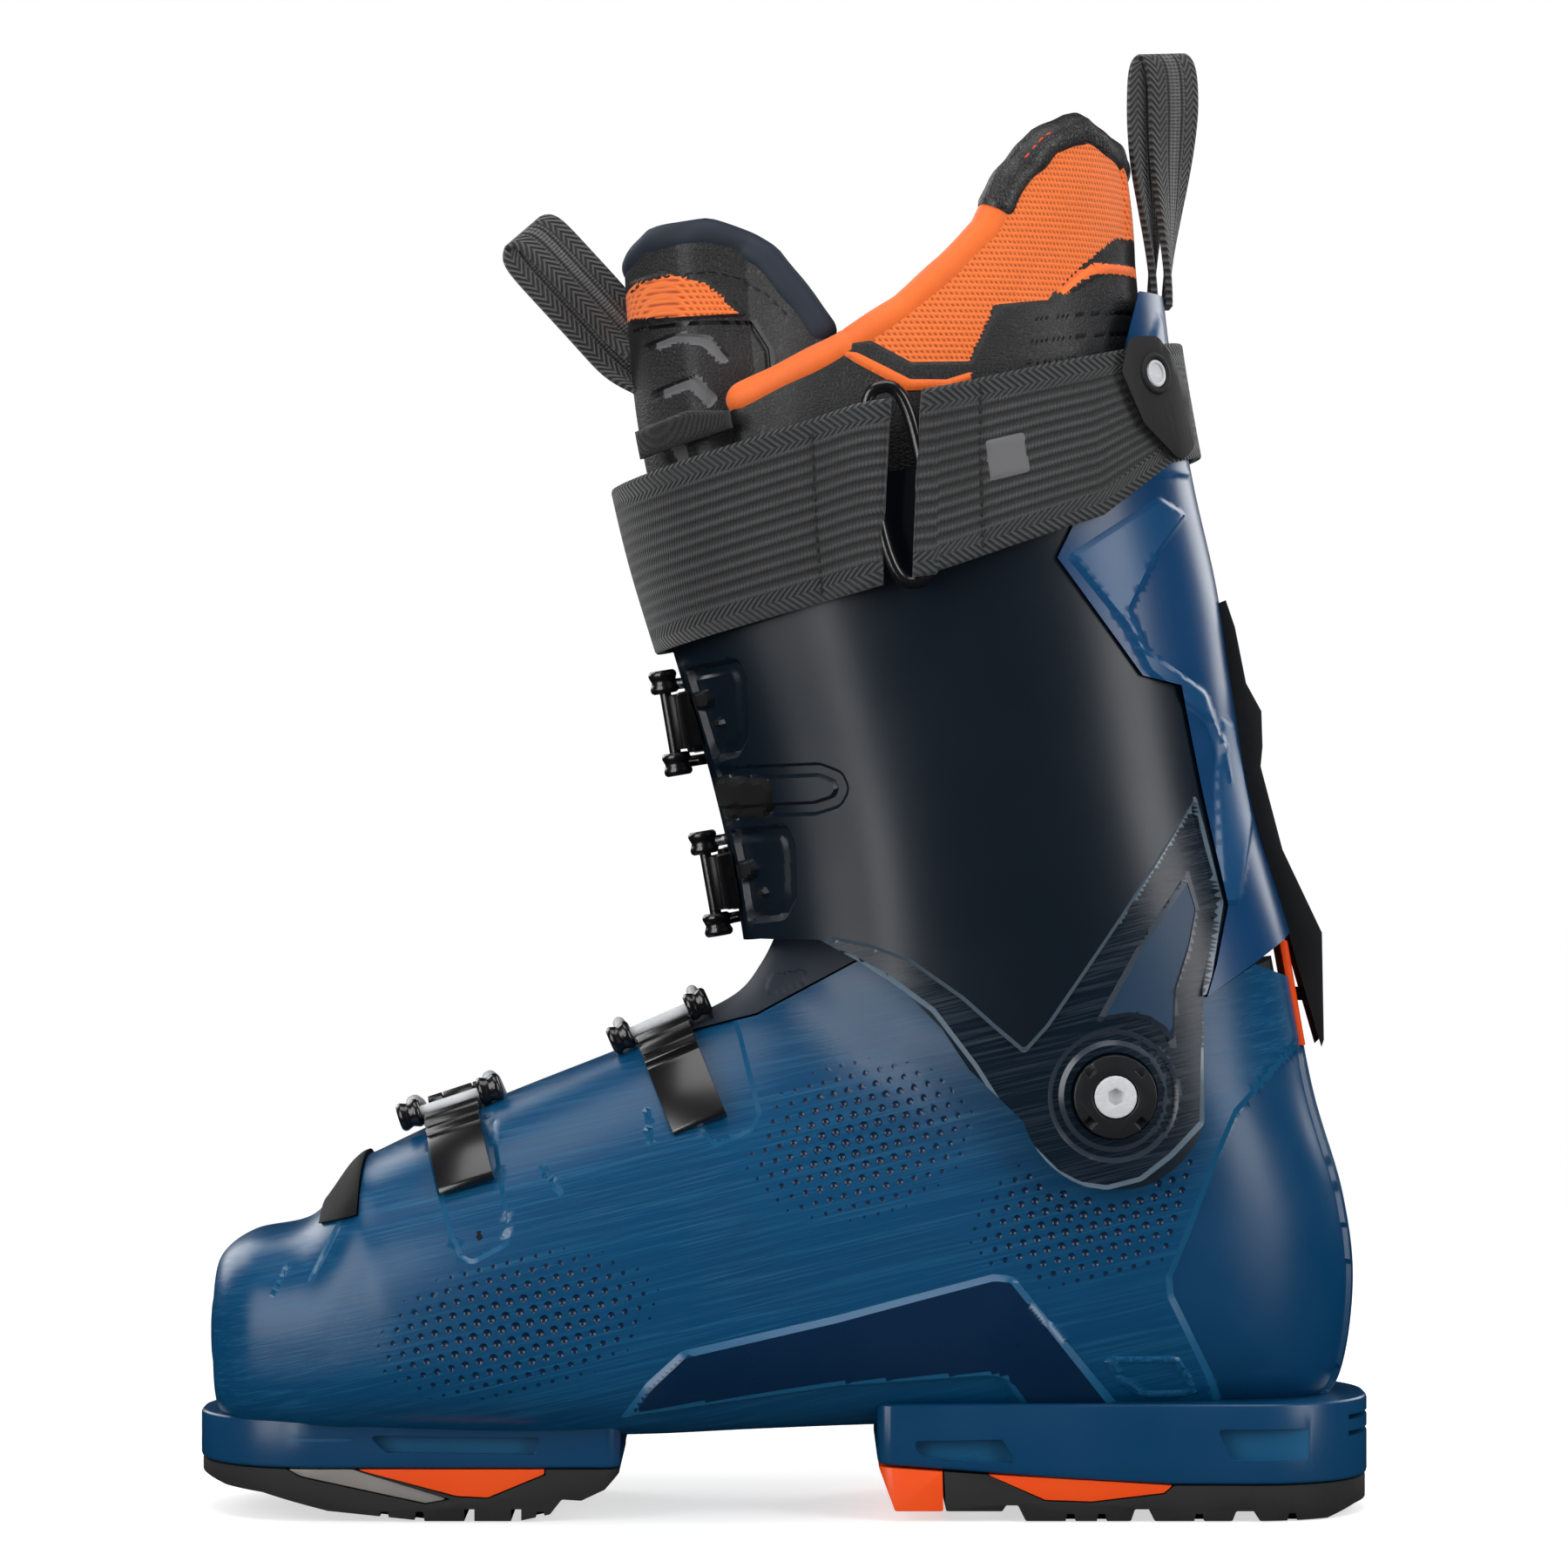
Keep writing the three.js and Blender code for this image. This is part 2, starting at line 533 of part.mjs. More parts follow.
const underSpine = loft(cuffLoft.list, -cuffWall / 2);
const spinePocket = slab(grown(spineRegion, gap)).subtract(underSpine);
const cuffCuts = [shellSweep, bushHoles, frontSlit, spinePocket];
const cuffBlank = cuffWallSolid.intersect(slab(cuffOutline()));
add("cuff", cutFrom(pivotBosses.reduce((sum, boss) => sum.add(boss), cuffBlank), cuffCuts), "cuffNavy", cuff);
const spineWall = loft(cuffLoft.list, spineRaise).subtract(loft(cuffLoft.list, gap - cuffWall / 2));
add("cuff_spine", cutFrom(spineWall.intersect(slab(spineRegion)), [shellSweep, ...linkScrewSpace]), "spineBlue", cuff);

// The shell's holes for the rear link are cut here, once the screws are placed.
shell.geometry = toGeometry(cutFrom(toSolid(shell.geometry), linkScrewSpace));

const linkOutline = side([
  [115.3, 237], [117.7, 229.9], [120.6, 215.3], [124.6, 208], [124.9, 198.8], [124.4, 193.6], [130.1, 171.9],
  [140.4, 150.2], [140.9, 122.3], [139.7, 118.7], [137, 118.2], [128, 146.5], [126, 157], [118, 182], [115, 200], [108, 234],
]);
const linkWidth = 19;
const linkBody = slab(linkOutline, -linkWidth / 2, linkWidth / 2);
const spineEnvelope = loft(cuffLoft.list, spineRaise + gap);
add("rear_link", cutFrom(linkBody, [shellEnvelope, spineEnvelope, ...linkScrewSpace]), "blackPlastic", cuff);
Object.entries(linkScrews).forEach(([name, { x, z, body }]) =>
  add(`link_screw_${name}`, linkScrew(x, z), "blackMetal", body),
);

// ---------------------------------------------------------------- cuff pivots
for (const [name, { sign, cuff: cuffFace, shell: shellFace }] of Object.entries(sides)) {
  const face = (cuffFace + pivotBossRaise) * across + 0.5;
  const bush = crossPin(bushHeadRadius, sign * (shellFace * across + gap), sign * face, pivot.x, pivot.y)
    .add(crossPin(bushShankRadius, sign * (shellFace * across - shellWall), sign * face, pivot.x, pivot.y));
  const bore = crossPin(pivotScrewRadius + gap, sign * (face - 2.4), sign * (face + 5), pivot.x, pivot.y)
    .add(crossPin(3 + gap, sign * 20, sign * (face + 5), pivot.x, pivot.y, smallSides));
  const notches = [45, 135, 225, 315].map((angle) => {
    const box = new THREE.BoxGeometry(5, 8, 2.4).translate(bushHeadRadius, sign * (face + 2), 0);
    return toSolid(box.rotateY(THREE.MathUtils.degToRad(angle)).translate(pivot.x, 0, pivot.y));
  });
  add(`pivot_bush_${name}`, cutFrom(bush, [bore, ...notches]), "blackPlastic");
  const screw = crossPin(pivotScrewRadius, sign * (face - 2), sign * (face + 0.3), pivot.x, pivot.y)
    .add(crossPin(3, sign * (shellFace * across - shellWall), sign * face, pivot.x, pivot.y, smallSides));
  const socket = crossPin(2.2, sign * (face - 1.4), sign * (face + 5), pivot.x, pivot.y, 6);
  add(`pivot_screw_${name}`, cutFrom(screw, [socket]), "steel");
}

// ---------------------------------------------------------------- cuff liner, tongue and pull loops
const cuffLinerFoot = [[-220, 200], [-20, 200], [0, 182], [20, 166.5], [36, 160], [60, 156], [84, 150], [108, 142], [134, 156], [220, 156]];
const tongueRegion = side([
  [9, 301.8], [-18.8, 285.8], [-27, 262], [-18, 235], [-8, 205], [0, 175], [-90, 175], [-90, 322], [-43.4, 324],
  [-36.5, 329.4], [-25, 330.6], [-11.4, 323.7], [0, 312], [5.7, 305],
]);
const linerRegion = [...linerTop, ...side([[96, 120], [170, 120], [170, 340], [110, 340], [110, 100], [-90, 100], [-90, 285.5]])];
const linerBelowTop = slab([...linerTop, ...side([[190, 312], [190, 100], [-90, 100], [-90, 285.5]])]);
const linerWallSolid = loft(linerLoft.list, 0).subtract(loft(linerLoft.list, -linerWall)).intersect(above(cuffLinerFoot));
add("liner_cuff", mainBody(linerWallSolid.intersect(linerBelowTop).subtract(slab(grown(tongueRegion, 2 * gap)))), "linerFabric", cuff);
add("tongue", mainBody(linerWallSolid.intersect(slab(tongueRegion))), "linerFabric", cuff);

const linerEnvelope = loft(linerLoft.list, gap);
const loopThickness = 2.4;

// A webbing loop seen from the side: an outline and the smaller one inside it.
function pullLoop(name, outer, inner, halfWidth) {
  const band = slab(side(outer), -halfWidth, halfWidth).subtract(slab(side(inner)));
  add(name, cutFrom(band, [linerEnvelope]), "webbing", cuff);
}

pullLoop("rear_pull_loop",
  [[92, 317], [98.4, 317], [101.5, 338], [104.2, 358], [104, 376], [100.5, 382.5], [95, 383.5], [91, 379.5], [90.2, 366], [92, 345]],
  [[96.4, 334], [99.2, 342], [101.8, 358], [101.6, 375], [99, 380.2], [95.8, 381], [93.2, 378], [92.7, 366], [94.4, 345]], 9);
pullLoop("front_pull_loop",
  [[-34, 282], [-41, 283], [-52, 297], [-66, 315], [-71.5, 327], [-69.5, 335], [-63, 337], [-56, 330], [-44, 311], [-36, 296]],
  [[-44.2, 290.5], [-50.3, 298.4], [-64, 316.2], [-69, 327.3], [-67.8, 333], [-63.8, 334.4], [-57.8, 328.4], [-46, 309.8], [-40.8, 298]], 8);

// ---------------------------------------------------------------- power strap
const strapInner = loft(cuffLoft.list, strapLift);
const strapOuter = loft(cuffLoft.list, strapLift + strapThickness);
const strapGap = slab(side([[27, 230], [33, 230], [33, 300], [27, 300]]), -90, 0);
const strapSolid = strapOuter.subtract(strapInner).intersect(slab(strapBand));
add("power_strap", cutFrom(strapSolid, [strapGap]), "webbing", cuff);

const tabSpace = loft(cuffLoft.list, strapLift + strapThickness + gap);
const tabOutside = loft(cuffLoft.list, strapLift + strapThickness + gap + tabThickness);
const tabOutline = side([[88, 303], [96, 304], [104, 292], [106, 276], [102, 271.5], [92, 281], [86, 294]]);
const rivet = { x: 95, z: 294, radius: 2.6 };
const rivetHole = crossPin(rivet.radius + gap, -90, 0, rivet.x * along, rivet.z * upward, smallSides);
add("strap_tab", cutFrom(tabOutside.subtract(tabSpace).intersect(slab(tabOutline, -48, 0)), [rivetHole]), "blackPlastic", cuff);
const rivetSolid = loft(cuffLoft.list, strapLift + strapThickness + gap + tabThickness + 0.5).subtract(tabSpace)
  .intersect(crossPin(rivet.radius, -90, 0, rivet.x * along, rivet.z * upward, smallSides));
add("strap_tab_rivet", mainBody(rivetSolid), "steel", cuff);

// ---------------------------------------------------------------- wire
// A round wire along a path, mitred at its corners. A closed path must be flat.
function wire(path, radius, count, closed = false) {
  const n = path.length;
  const step = (k) => path[(k + 1) % n].clone().sub(path[(k + n) % n]).normalize();
  const directions = path.map((_, k) => step(k));
  const into = (k) => (k > 0 ? directions[k - 1] : closed ? directions[n - 1] : directions[0]);
  const out = (k) => (closed || k < n - 1 ? directions[k] : directions[n - 2]);
  let normal = new THREE.Vector3(0, 0, 1).cross(into(0));
  if (normal.lengthSq() < 1e-3) normal = new THREE.Vector3(1, 0, 0).cross(into(0));
  normal.normalize();
  const rings = path.map((point, k) => {
    const [before, after] = [into(k), out(k)];
    const plane = before.clone().add(after).normalize();
    const binormal = before.clone().cross(normal);
    const ring = Array.from({ length: count }, (_, j) => {
      const angle = (2 * Math.PI * j) / count;
      const arm = normal.clone().multiplyScalar(Math.cos(angle)).addScaledVector(binormal, Math.sin(angle));
      arm.multiplyScalar(radius);
      return point.clone().add(arm).addScaledVector(before, -arm.dot(plane) / before.dot(plane));
    });
    normal.applyQuaternion(new THREE.Quaternion().setFromUnitVectors(before, after));
    return ring;
  });
  const points = rings.flat();
  const faces = [];
  const spans = closed ? n : n - 1;
  for (let k = 0; k < spans; k++) {
    for (let j = 0; j < count; j++) {
      const next = (j + 1) % count;
      const far = (k + 1) % n;
      const [a, b, c, d] = [k * count + j, k * count + next, far * count + next, far * count + j];
      faces.push(a, b, c, a, c, d);
    }
  }
  if (!closed) {
    for (let j = 1; j + 1 < count; j++) {
      const last = (n - 1) * count;
      faces.push(0, j + 1, j, last, last + j, last + j + 1);
    }
  }
  const geometry = new THREE.BufferGeometry().setFromPoints(points);
  geometry.setIndex(faces);
  return toSolid(geometry);
}

// The strap's ring: a flat oval of wire standing just outside the strap.
const ringCentre = new THREE.Vector3(29 * along, 0, 264.5 * upward);
const ringSection = cuffLoft.at(6.25 / 8);
const ringFace = -(ringSection.medial + strapLift + strapThickness + wireRadius + 0.8);
const ringPath = Array.from({ length: 20 }, (_, k) => {
  const angle = (2 * Math.PI * k) / 20;
  const x = 6.5 * Math.sign(Math.cos(angle)) * Math.abs(Math.cos(angle)) ** 0.7;
  const z = 25 * Math.sign(Math.sin(angle)) * Math.abs(Math.sin(angle)) ** 0.7;
  const tilt = THREE.MathUtils.degToRad(10);
  return new THREE.Vector3(
    ringCentre.x + x * Math.cos(tilt) - z * Math.sin(tilt), ringFace, ringCentre.z + x * Math.sin(tilt) + z * Math.cos(tilt),
  );
});
add("strap_ring", wire(ringPath, 1.7, 8, true), "steel", cuff);

// ---------------------------------------------------------------- buckles
// A buckle lies in one section of a loft. Its drawing plane is that section: y is the boot's Y and h runs up the
// chord. A place on it is a way along the surface from the ridge, lateral counted positive, and a height over it.
class Buckle {
  constructor(section) {
    const samples = 240;
    this.section = section;
    this.outline = Array.from({ length: samples + 1 }, (_, k) => section.flat(Math.PI * (1.5 - (2 * k) / samples), 0));
    this.ways = this.outline.map(() => 0);
    for (let k = 1; k <= samples; k++) {
      this.ways[k] = this.ways[k - 1] + this.outline[k].distanceTo(this.outline[k - 1]);
    }
    this.ridge = this.ways[samples / 2];
    const d = section.direction;
    this.frame = new THREE.Matrix4().makeBasis(new THREE.Vector3(0, 1, 0), d, new THREE.Vector3(d.z, 0, -d.x))
      .setPosition(section.origin);
  }

  place(way, height) {
    const target = this.ridge + way;
    const k = Math.max(2, this.ways.findIndex((w) => w > target) - 1);
    const [a, b] = [this.outline[k], this.outline[k + 1]];
    const share = (target - this.ways[k]) / (this.ways[k + 1] - this.ways[k]);
    const forward = this.outline[k + 2].clone().sub(this.outline[k - 1]).normalize();
    return a.clone().lerp(b, share).add(new THREE.Vector2(-forward.y, forward.x).multiplyScalar(height));
  }

  // Drawn points made solid between two places across the plane.
  block(points, from, to) {
    return toSolid(extrude(points, to - from).translate(0, 0, from).applyMatrix4(this.frame));
  }

  world(point, a = 0) {
    return new THREE.Vector3(point.x, point.y, a).applyMatrix4(this.frame);
  }

  pin(point, radius, from, to, count = smallSides) {
    const geometry = new THREE.CylinderGeometry(radius, radius, to - from, count);
    geometry.rotateX(Math.PI / 2).translate(point.x, point.y, (from + to) / 2);
    return toSolid(geometry.applyMatrix4(this.frame));
  }

  // A strip that follows the surface: heights [way, height] for its top, a fixed height for its underside.
  strip(top, under, from, to) {
    const ways = top.map(([way]) => way);
    const [start, end] = [Math.min(...ways), Math.max(...ways)];
    const below = Array.from({ length: 7 }, (_, k) => this.place(end + ((start - end) * k) / 6, under));
    return this.block([...top.map(([way, height]) => this.place(way, height)), ...below], from, to);
  }
}

function addBuckle(name, lofted, index, parent, { pinWay, barWay, teeth, rackStart, rackEnd, rackThickness }) {
  const buckle = new Buckle(lofted.at(index));
  const envelope = loft(lofted.list, gap);
  const half = { rack: rackWidth / 2, base: basePlateWidth / 2, lever: leverWidth / 2, lug: lugWidth / 2 };

  const firstTooth = barWay + wireRadius + toothClearance + toothFoot;
  const rackTop = [[rackEnd, rackThickness - 1.2], [rackEnd + 1.2, rackThickness]];
  for (let k = teeth - 1; k >= 0; k--) {
    const way = firstTooth - k * toothPitch;
    rackTop.push([way - toothFoot, rackThickness], [way - toothFoot + 0.5, rackThickness + toothHeight], [way, rackThickness]);
  }
  rackTop.push([rackStart - 1, rackThickness], [rackStart, rackThickness - 1.2]);
  const rack = buckle.strip(rackTop, -1.5, -half.rack, half.rack);
  add(`${name}_rack`, cutFrom(rack, [envelope]), "blackMetal", parent);

  const pin = buckle.place(pinWay, leverPinHeight);
  const plateTop = [[pinWay - 6, 1], [pinWay - 5, 2.2], [pinWay + 8, 2.2], [pinWay + 14, 2.2], [pinWay + 15, 1]];
  const base = buckle.strip(plateTop, -1.5, -half.base, half.base);
  const lug = buckle.block(
    [[-5, -1], [5, -1], [3.4, leverPinHeight], [1.6, leverPinHeight + 3.1], [-1.6, leverPinHeight + 3.1], [-3.4, leverPinHeight]]
      .map(([way, height]) => buckle.place(pinWay + way, height)),
    -half.lug, half.lug,
  );
  add(`${name}_base`, cutFrom(base.add(lug), [envelope, buckle.pin(pin, 2.2, -9, 9)]), "blackMetal", parent);
  add(`${name}_pin`, buckle.pin(pin, 1.9, -half.lever - 0.3, half.lever + 0.3), "steel", parent);

  const tip = pinWay + leverLength;
  const leverTop = [
    [pinWay - 3.4, leverPinHeight + 1.4], [pinWay - 1, leverPinHeight + 3.4], [pinWay + 8, 10.6], [pinWay + 24, 9.6],
    [pinWay + 40, 8.8], [tip - 2, 8], [tip, 6.4],
  ];
  const leverUnder = [
    [tip - 1, 5], [pinWay + 40, 4.4], [pinWay + 24, 3.8], [pinWay + 8, 3.4], [pinWay + 1, leverPinHeight - 3.6],
    [pinWay - 2.6, leverPinHeight - 2.4], [pinWay - 4, leverPinHeight - 0.4],
  ];
  const leverShape = [...leverTop, ...leverUnder].map(([way, height]) => buckle.place(way, height));
  const lever = buckle.block(leverShape, -half.lever, half.lever);
  const lugSlot = buckle.block(
    [[-9, 0], [16, 0], [14, 7.4], [4, 14], [-9, 14]].map(([way, height]) => buckle.place(pinWay + way, height)),
    -half.lug - gap, half.lug + gap,
  );
  const grip = buckle.block(
    [[30, 7.4], [49, 6.6], [49, 12], [30, 12]].map(([way, height]) => buckle.place(pinWay + way, height)), -5.4, 5.4,
  );
  const peg = buckle.place(pinWay + bailReach, leverPinHeight - 0.6);
  const pegHoles = [-1, 1].map((sign) =>
    buckle.pin(peg, wireRadius + gap, Math.min(sign * 6.4, sign * 20), Math.max(sign * 6.4, sign * 20), 10),
  );
  const leverCuts = [lugSlot, grip, buckle.pin(pin, 2.2, -20, 20), ...pegHoles, loft(lofted.list, 2 * gap)];
  const leverMesh = add(`${name}_lever`, cutFrom(lever, leverCuts), "blackPlastic", parent);
  leverMesh.userData.hinge = { at: buckle.world(pin).toArray(), axis: buckle.world(pin, 1).sub(buckle.world(pin)).toArray() };

  const arm = bailSpacing / 2;
  const barHeight = rackThickness + wireRadius + gap;
  const armPlaces = [
    peg,
    buckle.place(pinWay - 2, leverPinHeight + 1.6),
    buckle.place(pinWay - 13, 7.4),
    buckle.place((pinWay - 13 + barWay) / 2, (7.4 + barHeight) / 2 + 0.8),
    buckle.place(barWay + 4, barHeight + 0.6),
    buckle.place(barWay, barHeight),
  ];
  const path = [
    buckle.world(peg, -6.8), ...armPlaces.map((p) => buckle.world(p, -arm)),
    ...armPlaces.toReversed().map((p) => buckle.world(p, arm)), buckle.world(peg, 6.8),
  ];
  const bar = armPlaces.at(-1);
  const inner = half.rack + 0.7;
  const sleeves = [[-inner - sleeveLength, -inner], [inner, inner + sleeveLength]].map(([from, to]) =>
    buckle.pin(bar, sleeveRadius, from, to, 12),
  );
  const bail = sleeves.reduce((sum, sleeve) => sum.add(sleeve), wire(path, wireRadius, 8));
  const bailMesh = add(`${name}_bail`, cutFrom(bail, [envelope]), "steel", parent);
  bailMesh.userData.hinge = { at: buckle.world(peg).toArray(), axis: leverMesh.userData.hinge.axis };
}

// Where along a loft its ridge reaches a height.
function placeOfRidge(lofted, z) {
  let [low, high] = [0, 1];
  for (let k = 0; k < 30; k++) {
    const middle = (low + high) / 2;
    const { origin, chord } = lofted.at(middle);
    if (origin.z + chord.z < z) low = middle;
    else high = middle;
  }
  return low;
}

const shellBuckle = { pinWay: 27, barWay: -9, teeth: 4, rackStart: 7, rackEnd: -46, rackThickness: 2.4 };
const cuffBuckle = { pinWay: 27, barWay: -3, teeth: 2, rackStart: 9, rackEnd: -13, rackThickness: 4.4 };
addBuckle("toe_buckle", shellLoft, 6.1 / 17, boot, shellBuckle);
addBuckle("instep_buckle", shellLoft, 8.55 / 17, boot, shellBuckle);
const upperBuckleZ = strapFrontFoot * upward - bailSpacing / 2 - wireRadius - buckleToStrap;
addBuckle("lower_cuff_buckle", cuffLoft, placeOfRidge(cuffLoft, upperBuckleZ - cuffBuckleSpacing * upward), cuff, cuffBuckle);
addBuckle("upper_cuff_buckle", cuffLoft, placeOfRidge(cuffLoft, upperBuckleZ), cuff, cuffBuckle);

boot.position.x = -heelRestX * along;

export default boot;
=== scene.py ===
# A right alpine ski boot. Lengths are in millimetres from the middle of the sole, as in the CAD, until
# to_metres turns them into the frame's metres.
import math

import bmesh
import bpy
import numpy as np
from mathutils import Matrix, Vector


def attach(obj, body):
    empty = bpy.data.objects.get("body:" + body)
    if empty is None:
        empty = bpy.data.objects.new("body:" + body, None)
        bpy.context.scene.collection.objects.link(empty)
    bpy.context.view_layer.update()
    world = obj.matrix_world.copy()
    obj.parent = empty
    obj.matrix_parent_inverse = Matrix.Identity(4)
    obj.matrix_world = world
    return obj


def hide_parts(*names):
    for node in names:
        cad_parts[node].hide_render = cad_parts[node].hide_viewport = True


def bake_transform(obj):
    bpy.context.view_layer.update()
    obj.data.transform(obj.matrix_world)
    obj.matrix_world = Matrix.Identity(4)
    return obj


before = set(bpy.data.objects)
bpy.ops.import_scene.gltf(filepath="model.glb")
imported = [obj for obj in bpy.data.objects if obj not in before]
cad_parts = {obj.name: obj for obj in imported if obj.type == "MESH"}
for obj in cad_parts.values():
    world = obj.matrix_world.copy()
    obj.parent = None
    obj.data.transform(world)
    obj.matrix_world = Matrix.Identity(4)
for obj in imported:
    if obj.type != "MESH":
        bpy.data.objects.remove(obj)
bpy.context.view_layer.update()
HEEL = 102.0  # from the middle of the sole to the origin
WALL, CUFF_WALL, GAP = 4.5, 4.2, 0.35
PIVOT = np.array([84.0, 109.7])


def to_metres(points):
    return (np.asarray(points, float) - [HEEL, 0, 0]) / 1000


# ---------------------------------------------------------------- materials
class Mat:
    """A node material built up from a Principled shader. Patterns follow the piece's own place in the
    frame, or its along, across and side attributes, which are in millimetres."""

    def __init__(self, name, color, rough, metal=0.0, coat=0.0, spec=0.5, sheen=0.0):
        self.m = bpy.data.materials.new(name)
        self.m.use_nodes = True
        self.t = self.m.node_tree
        self.p = self.t.nodes["Principled BSDF"]
        self.color, self.rough, self.height = self.rgb(color), self.value(rough), None
        self.p.inputs["Metallic"].default_value = metal
        self.p.inputs["Coat Weight"].default_value = coat
        self.p.inputs["Coat Roughness"].default_value = 0.25
        self.p.inputs["Specular IOR Level"].default_value = spec
        if sheen:
            self.p.inputs["Sheen Weight"].default_value = sheen
            self.p.inputs["Sheen Roughness"].default_value = 0.5
        self.place = self.t.nodes.new("ShaderNodeTexCoord").outputs["Object"]

    def link(self, socket, v):
        if isinstance(v, bpy.types.NodeSocket):
            self.t.links.new(v, socket)
        else:
            socket.default_value = v

    def rgb(self, c):
        if isinstance(c, bpy.types.NodeSocket):
            return c
        n = self.t.nodes.new("ShaderNodeRGB")
        n.outputs[0].default_value = (*c, 1)
        return n.outputs[0]

    def value(self, v):
        if isinstance(v, bpy.types.NodeSocket):
            return v
        n = self.t.nodes.new("ShaderNodeValue")
        n.outputs[0].default_value = v
        return n.outputs[0]

    def math(self, op, a, b=0.0, c=None):
        n = self.t.nodes.new("ShaderNodeMath")
        n.operation = op
        self.link(n.inputs[0], a)
        self.link(n.inputs[1], b)
        if c is not None:
            self.link(n.inputs[2], c)
        return n.outputs[0]

    def mix(self, share, a, b, kind="MIX"):
        n = self.t.nodes.new("ShaderNodeMix")
        n.data_type, n.blend_type = "RGBA", kind
        self.link(n.inputs[0], share)
        self.link(n.inputs[6], self.rgb(a))
        self.link(n.inputs[7], self.rgb(b))
        return n.outputs[2]

    def ramp(self, v, lo, hi, to_lo=0.0, to_hi=1.0, smooth=True):
        n = self.t.nodes.new("ShaderNodeMapRange")
        n.interpolation_type = "SMOOTHSTEP" if smooth else "LINEAR"
        for k, x in zip((0, 1, 2, 3, 4), (v, lo, hi, to_lo, to_hi)):
            self.link(n.inputs[k], x)
        return n.outputs[0]

    def attr(self, name):
        n = self.t.nodes.new("ShaderNodeAttribute")
        n.attribute_name = name
        return n.outputs["Fac"]

    def vector(self, scale=(1, 1, 1), turn=(0, 0, 0), source=None):
        n = self.t.nodes.new("ShaderNodeMapping")
        turned = self.t.nodes.new("ShaderNodeMapping")
        turned.inputs["Rotation"].default_value = turn
        self.t.links.new(source or self.place, turned.inputs["Vector"])
        self.t.links.new(turned.outputs[0], n.inputs["Vector"])
        n.inputs["Scale"].default_value = scale
        return n.outputs[0]

    def noise(self, scale=(100, 100, 100), turn=(0, 0, 0), detail=2.0, rough=0.5, source=None):
        n = self.t.nodes.new("ShaderNodeTexNoise")
        self.t.links.new(self.vector(scale, turn, source), n.inputs["Vector"])
        n.inputs["Scale"].default_value = 1.0
        n.inputs["Detail"].default_value = detail
        n.inputs["Roughness"].default_value = rough
        return n.outputs["Fac"]

    def wave(self, v, pitch, phase=0.0):
        """A sine wave from 0 to 1 over a length v."""
        return self.math("MULTIPLY_ADD",
                         self.math("SINE", self.math("MULTIPLY_ADD", v, 2 * math.pi / pitch, phase)), 0.5,
                         0.5)

    def bump(self, height, mm):
        """Adds a relief of that many millimetres to the surface."""
        h = self.math("MULTIPLY", height, mm / 1000)
        self.height = h if self.height is None else self.math("ADD", self.height, h)
        return self

    def tint(self, share, color, kind="MIX"):
        self.color = self.mix(share, self.color, color, kind)
        return self

    def gloss(self, share, rough):
        n = self.t.nodes.new("ShaderNodeMix")
        self.link(n.inputs[0], share)
        self.link(n.inputs[2], self.rough)
        self.link(n.inputs[3], rough)
        self.rough = n.outputs[0]
        return self

    def done(self):
        self.link(self.p.inputs["Base Color"], self.color)
        self.link(self.p.inputs["Roughness"], self.rough)
        if self.height is not None:
            b = self.t.nodes.new("ShaderNodeBump")
            b.inputs["Distance"].default_value = 1.0
            b.inputs["Strength"].default_value = 1.0
            self.t.links.new(self.height, b.inputs["Height"])
            self.t.links.new(b.outputs[0], self.p.inputs["Normal"])
        return self.m


TILT = math.radians(14)  # the brushed lines rise towards the heel


def brushed(name, color, lit, rough, share=0.5, relief=0.03, coat=0.0, along=24, across=2600, spec=0.34):
    m = Mat(name, color, rough, coat=coat, spec=spec)
    fine = m.noise((along, 260, across), (0, TILT, 0), 3, 0.6)
    broad = m.noise((along * 0.4, 90, across * 0.28), (0, TILT * 0.8, 0), 2, 0.5)
    streaks = m.ramp(m.math("MULTIPLY_ADD", broad, 0.35, m.math("MULTIPLY", fine, 0.65)), 0.45, 0.68)
    patch = m.ramp(m.noise((14, 14, 14), detail=2), 0.3, 0.7, 0.55, 1.0)
    m.tint(m.math("MULTIPLY", m.math("MULTIPLY", streaks, patch), share), lit)
    m.gloss(streaks, rough + 0.1)
    m.bump(fine, relief).bump(broad, relief * 1.2)
    return m.done()


def plain(name, color, rough, metal=0.0, coat=0.0, grain=0.012, scale=1400, mottled=0.08, spec=0.36,
          scuff=0.06):
    m = Mat(name, color, rough, metal, coat, spec)
    fine = m.noise((scale,) * 3, detail=2)
    broad = m.noise((28, 28, 28), detail=4)
    m.tint(m.math("MULTIPLY", m.ramp(broad, 0.3, 0.7), mottled), [min(1, c * 2.2 + 0.01) for c in color])
    m.gloss(m.ramp(broad, 0.35, 0.65), rough + scuff)
    m.bump(fine, grain)
    return m.done()


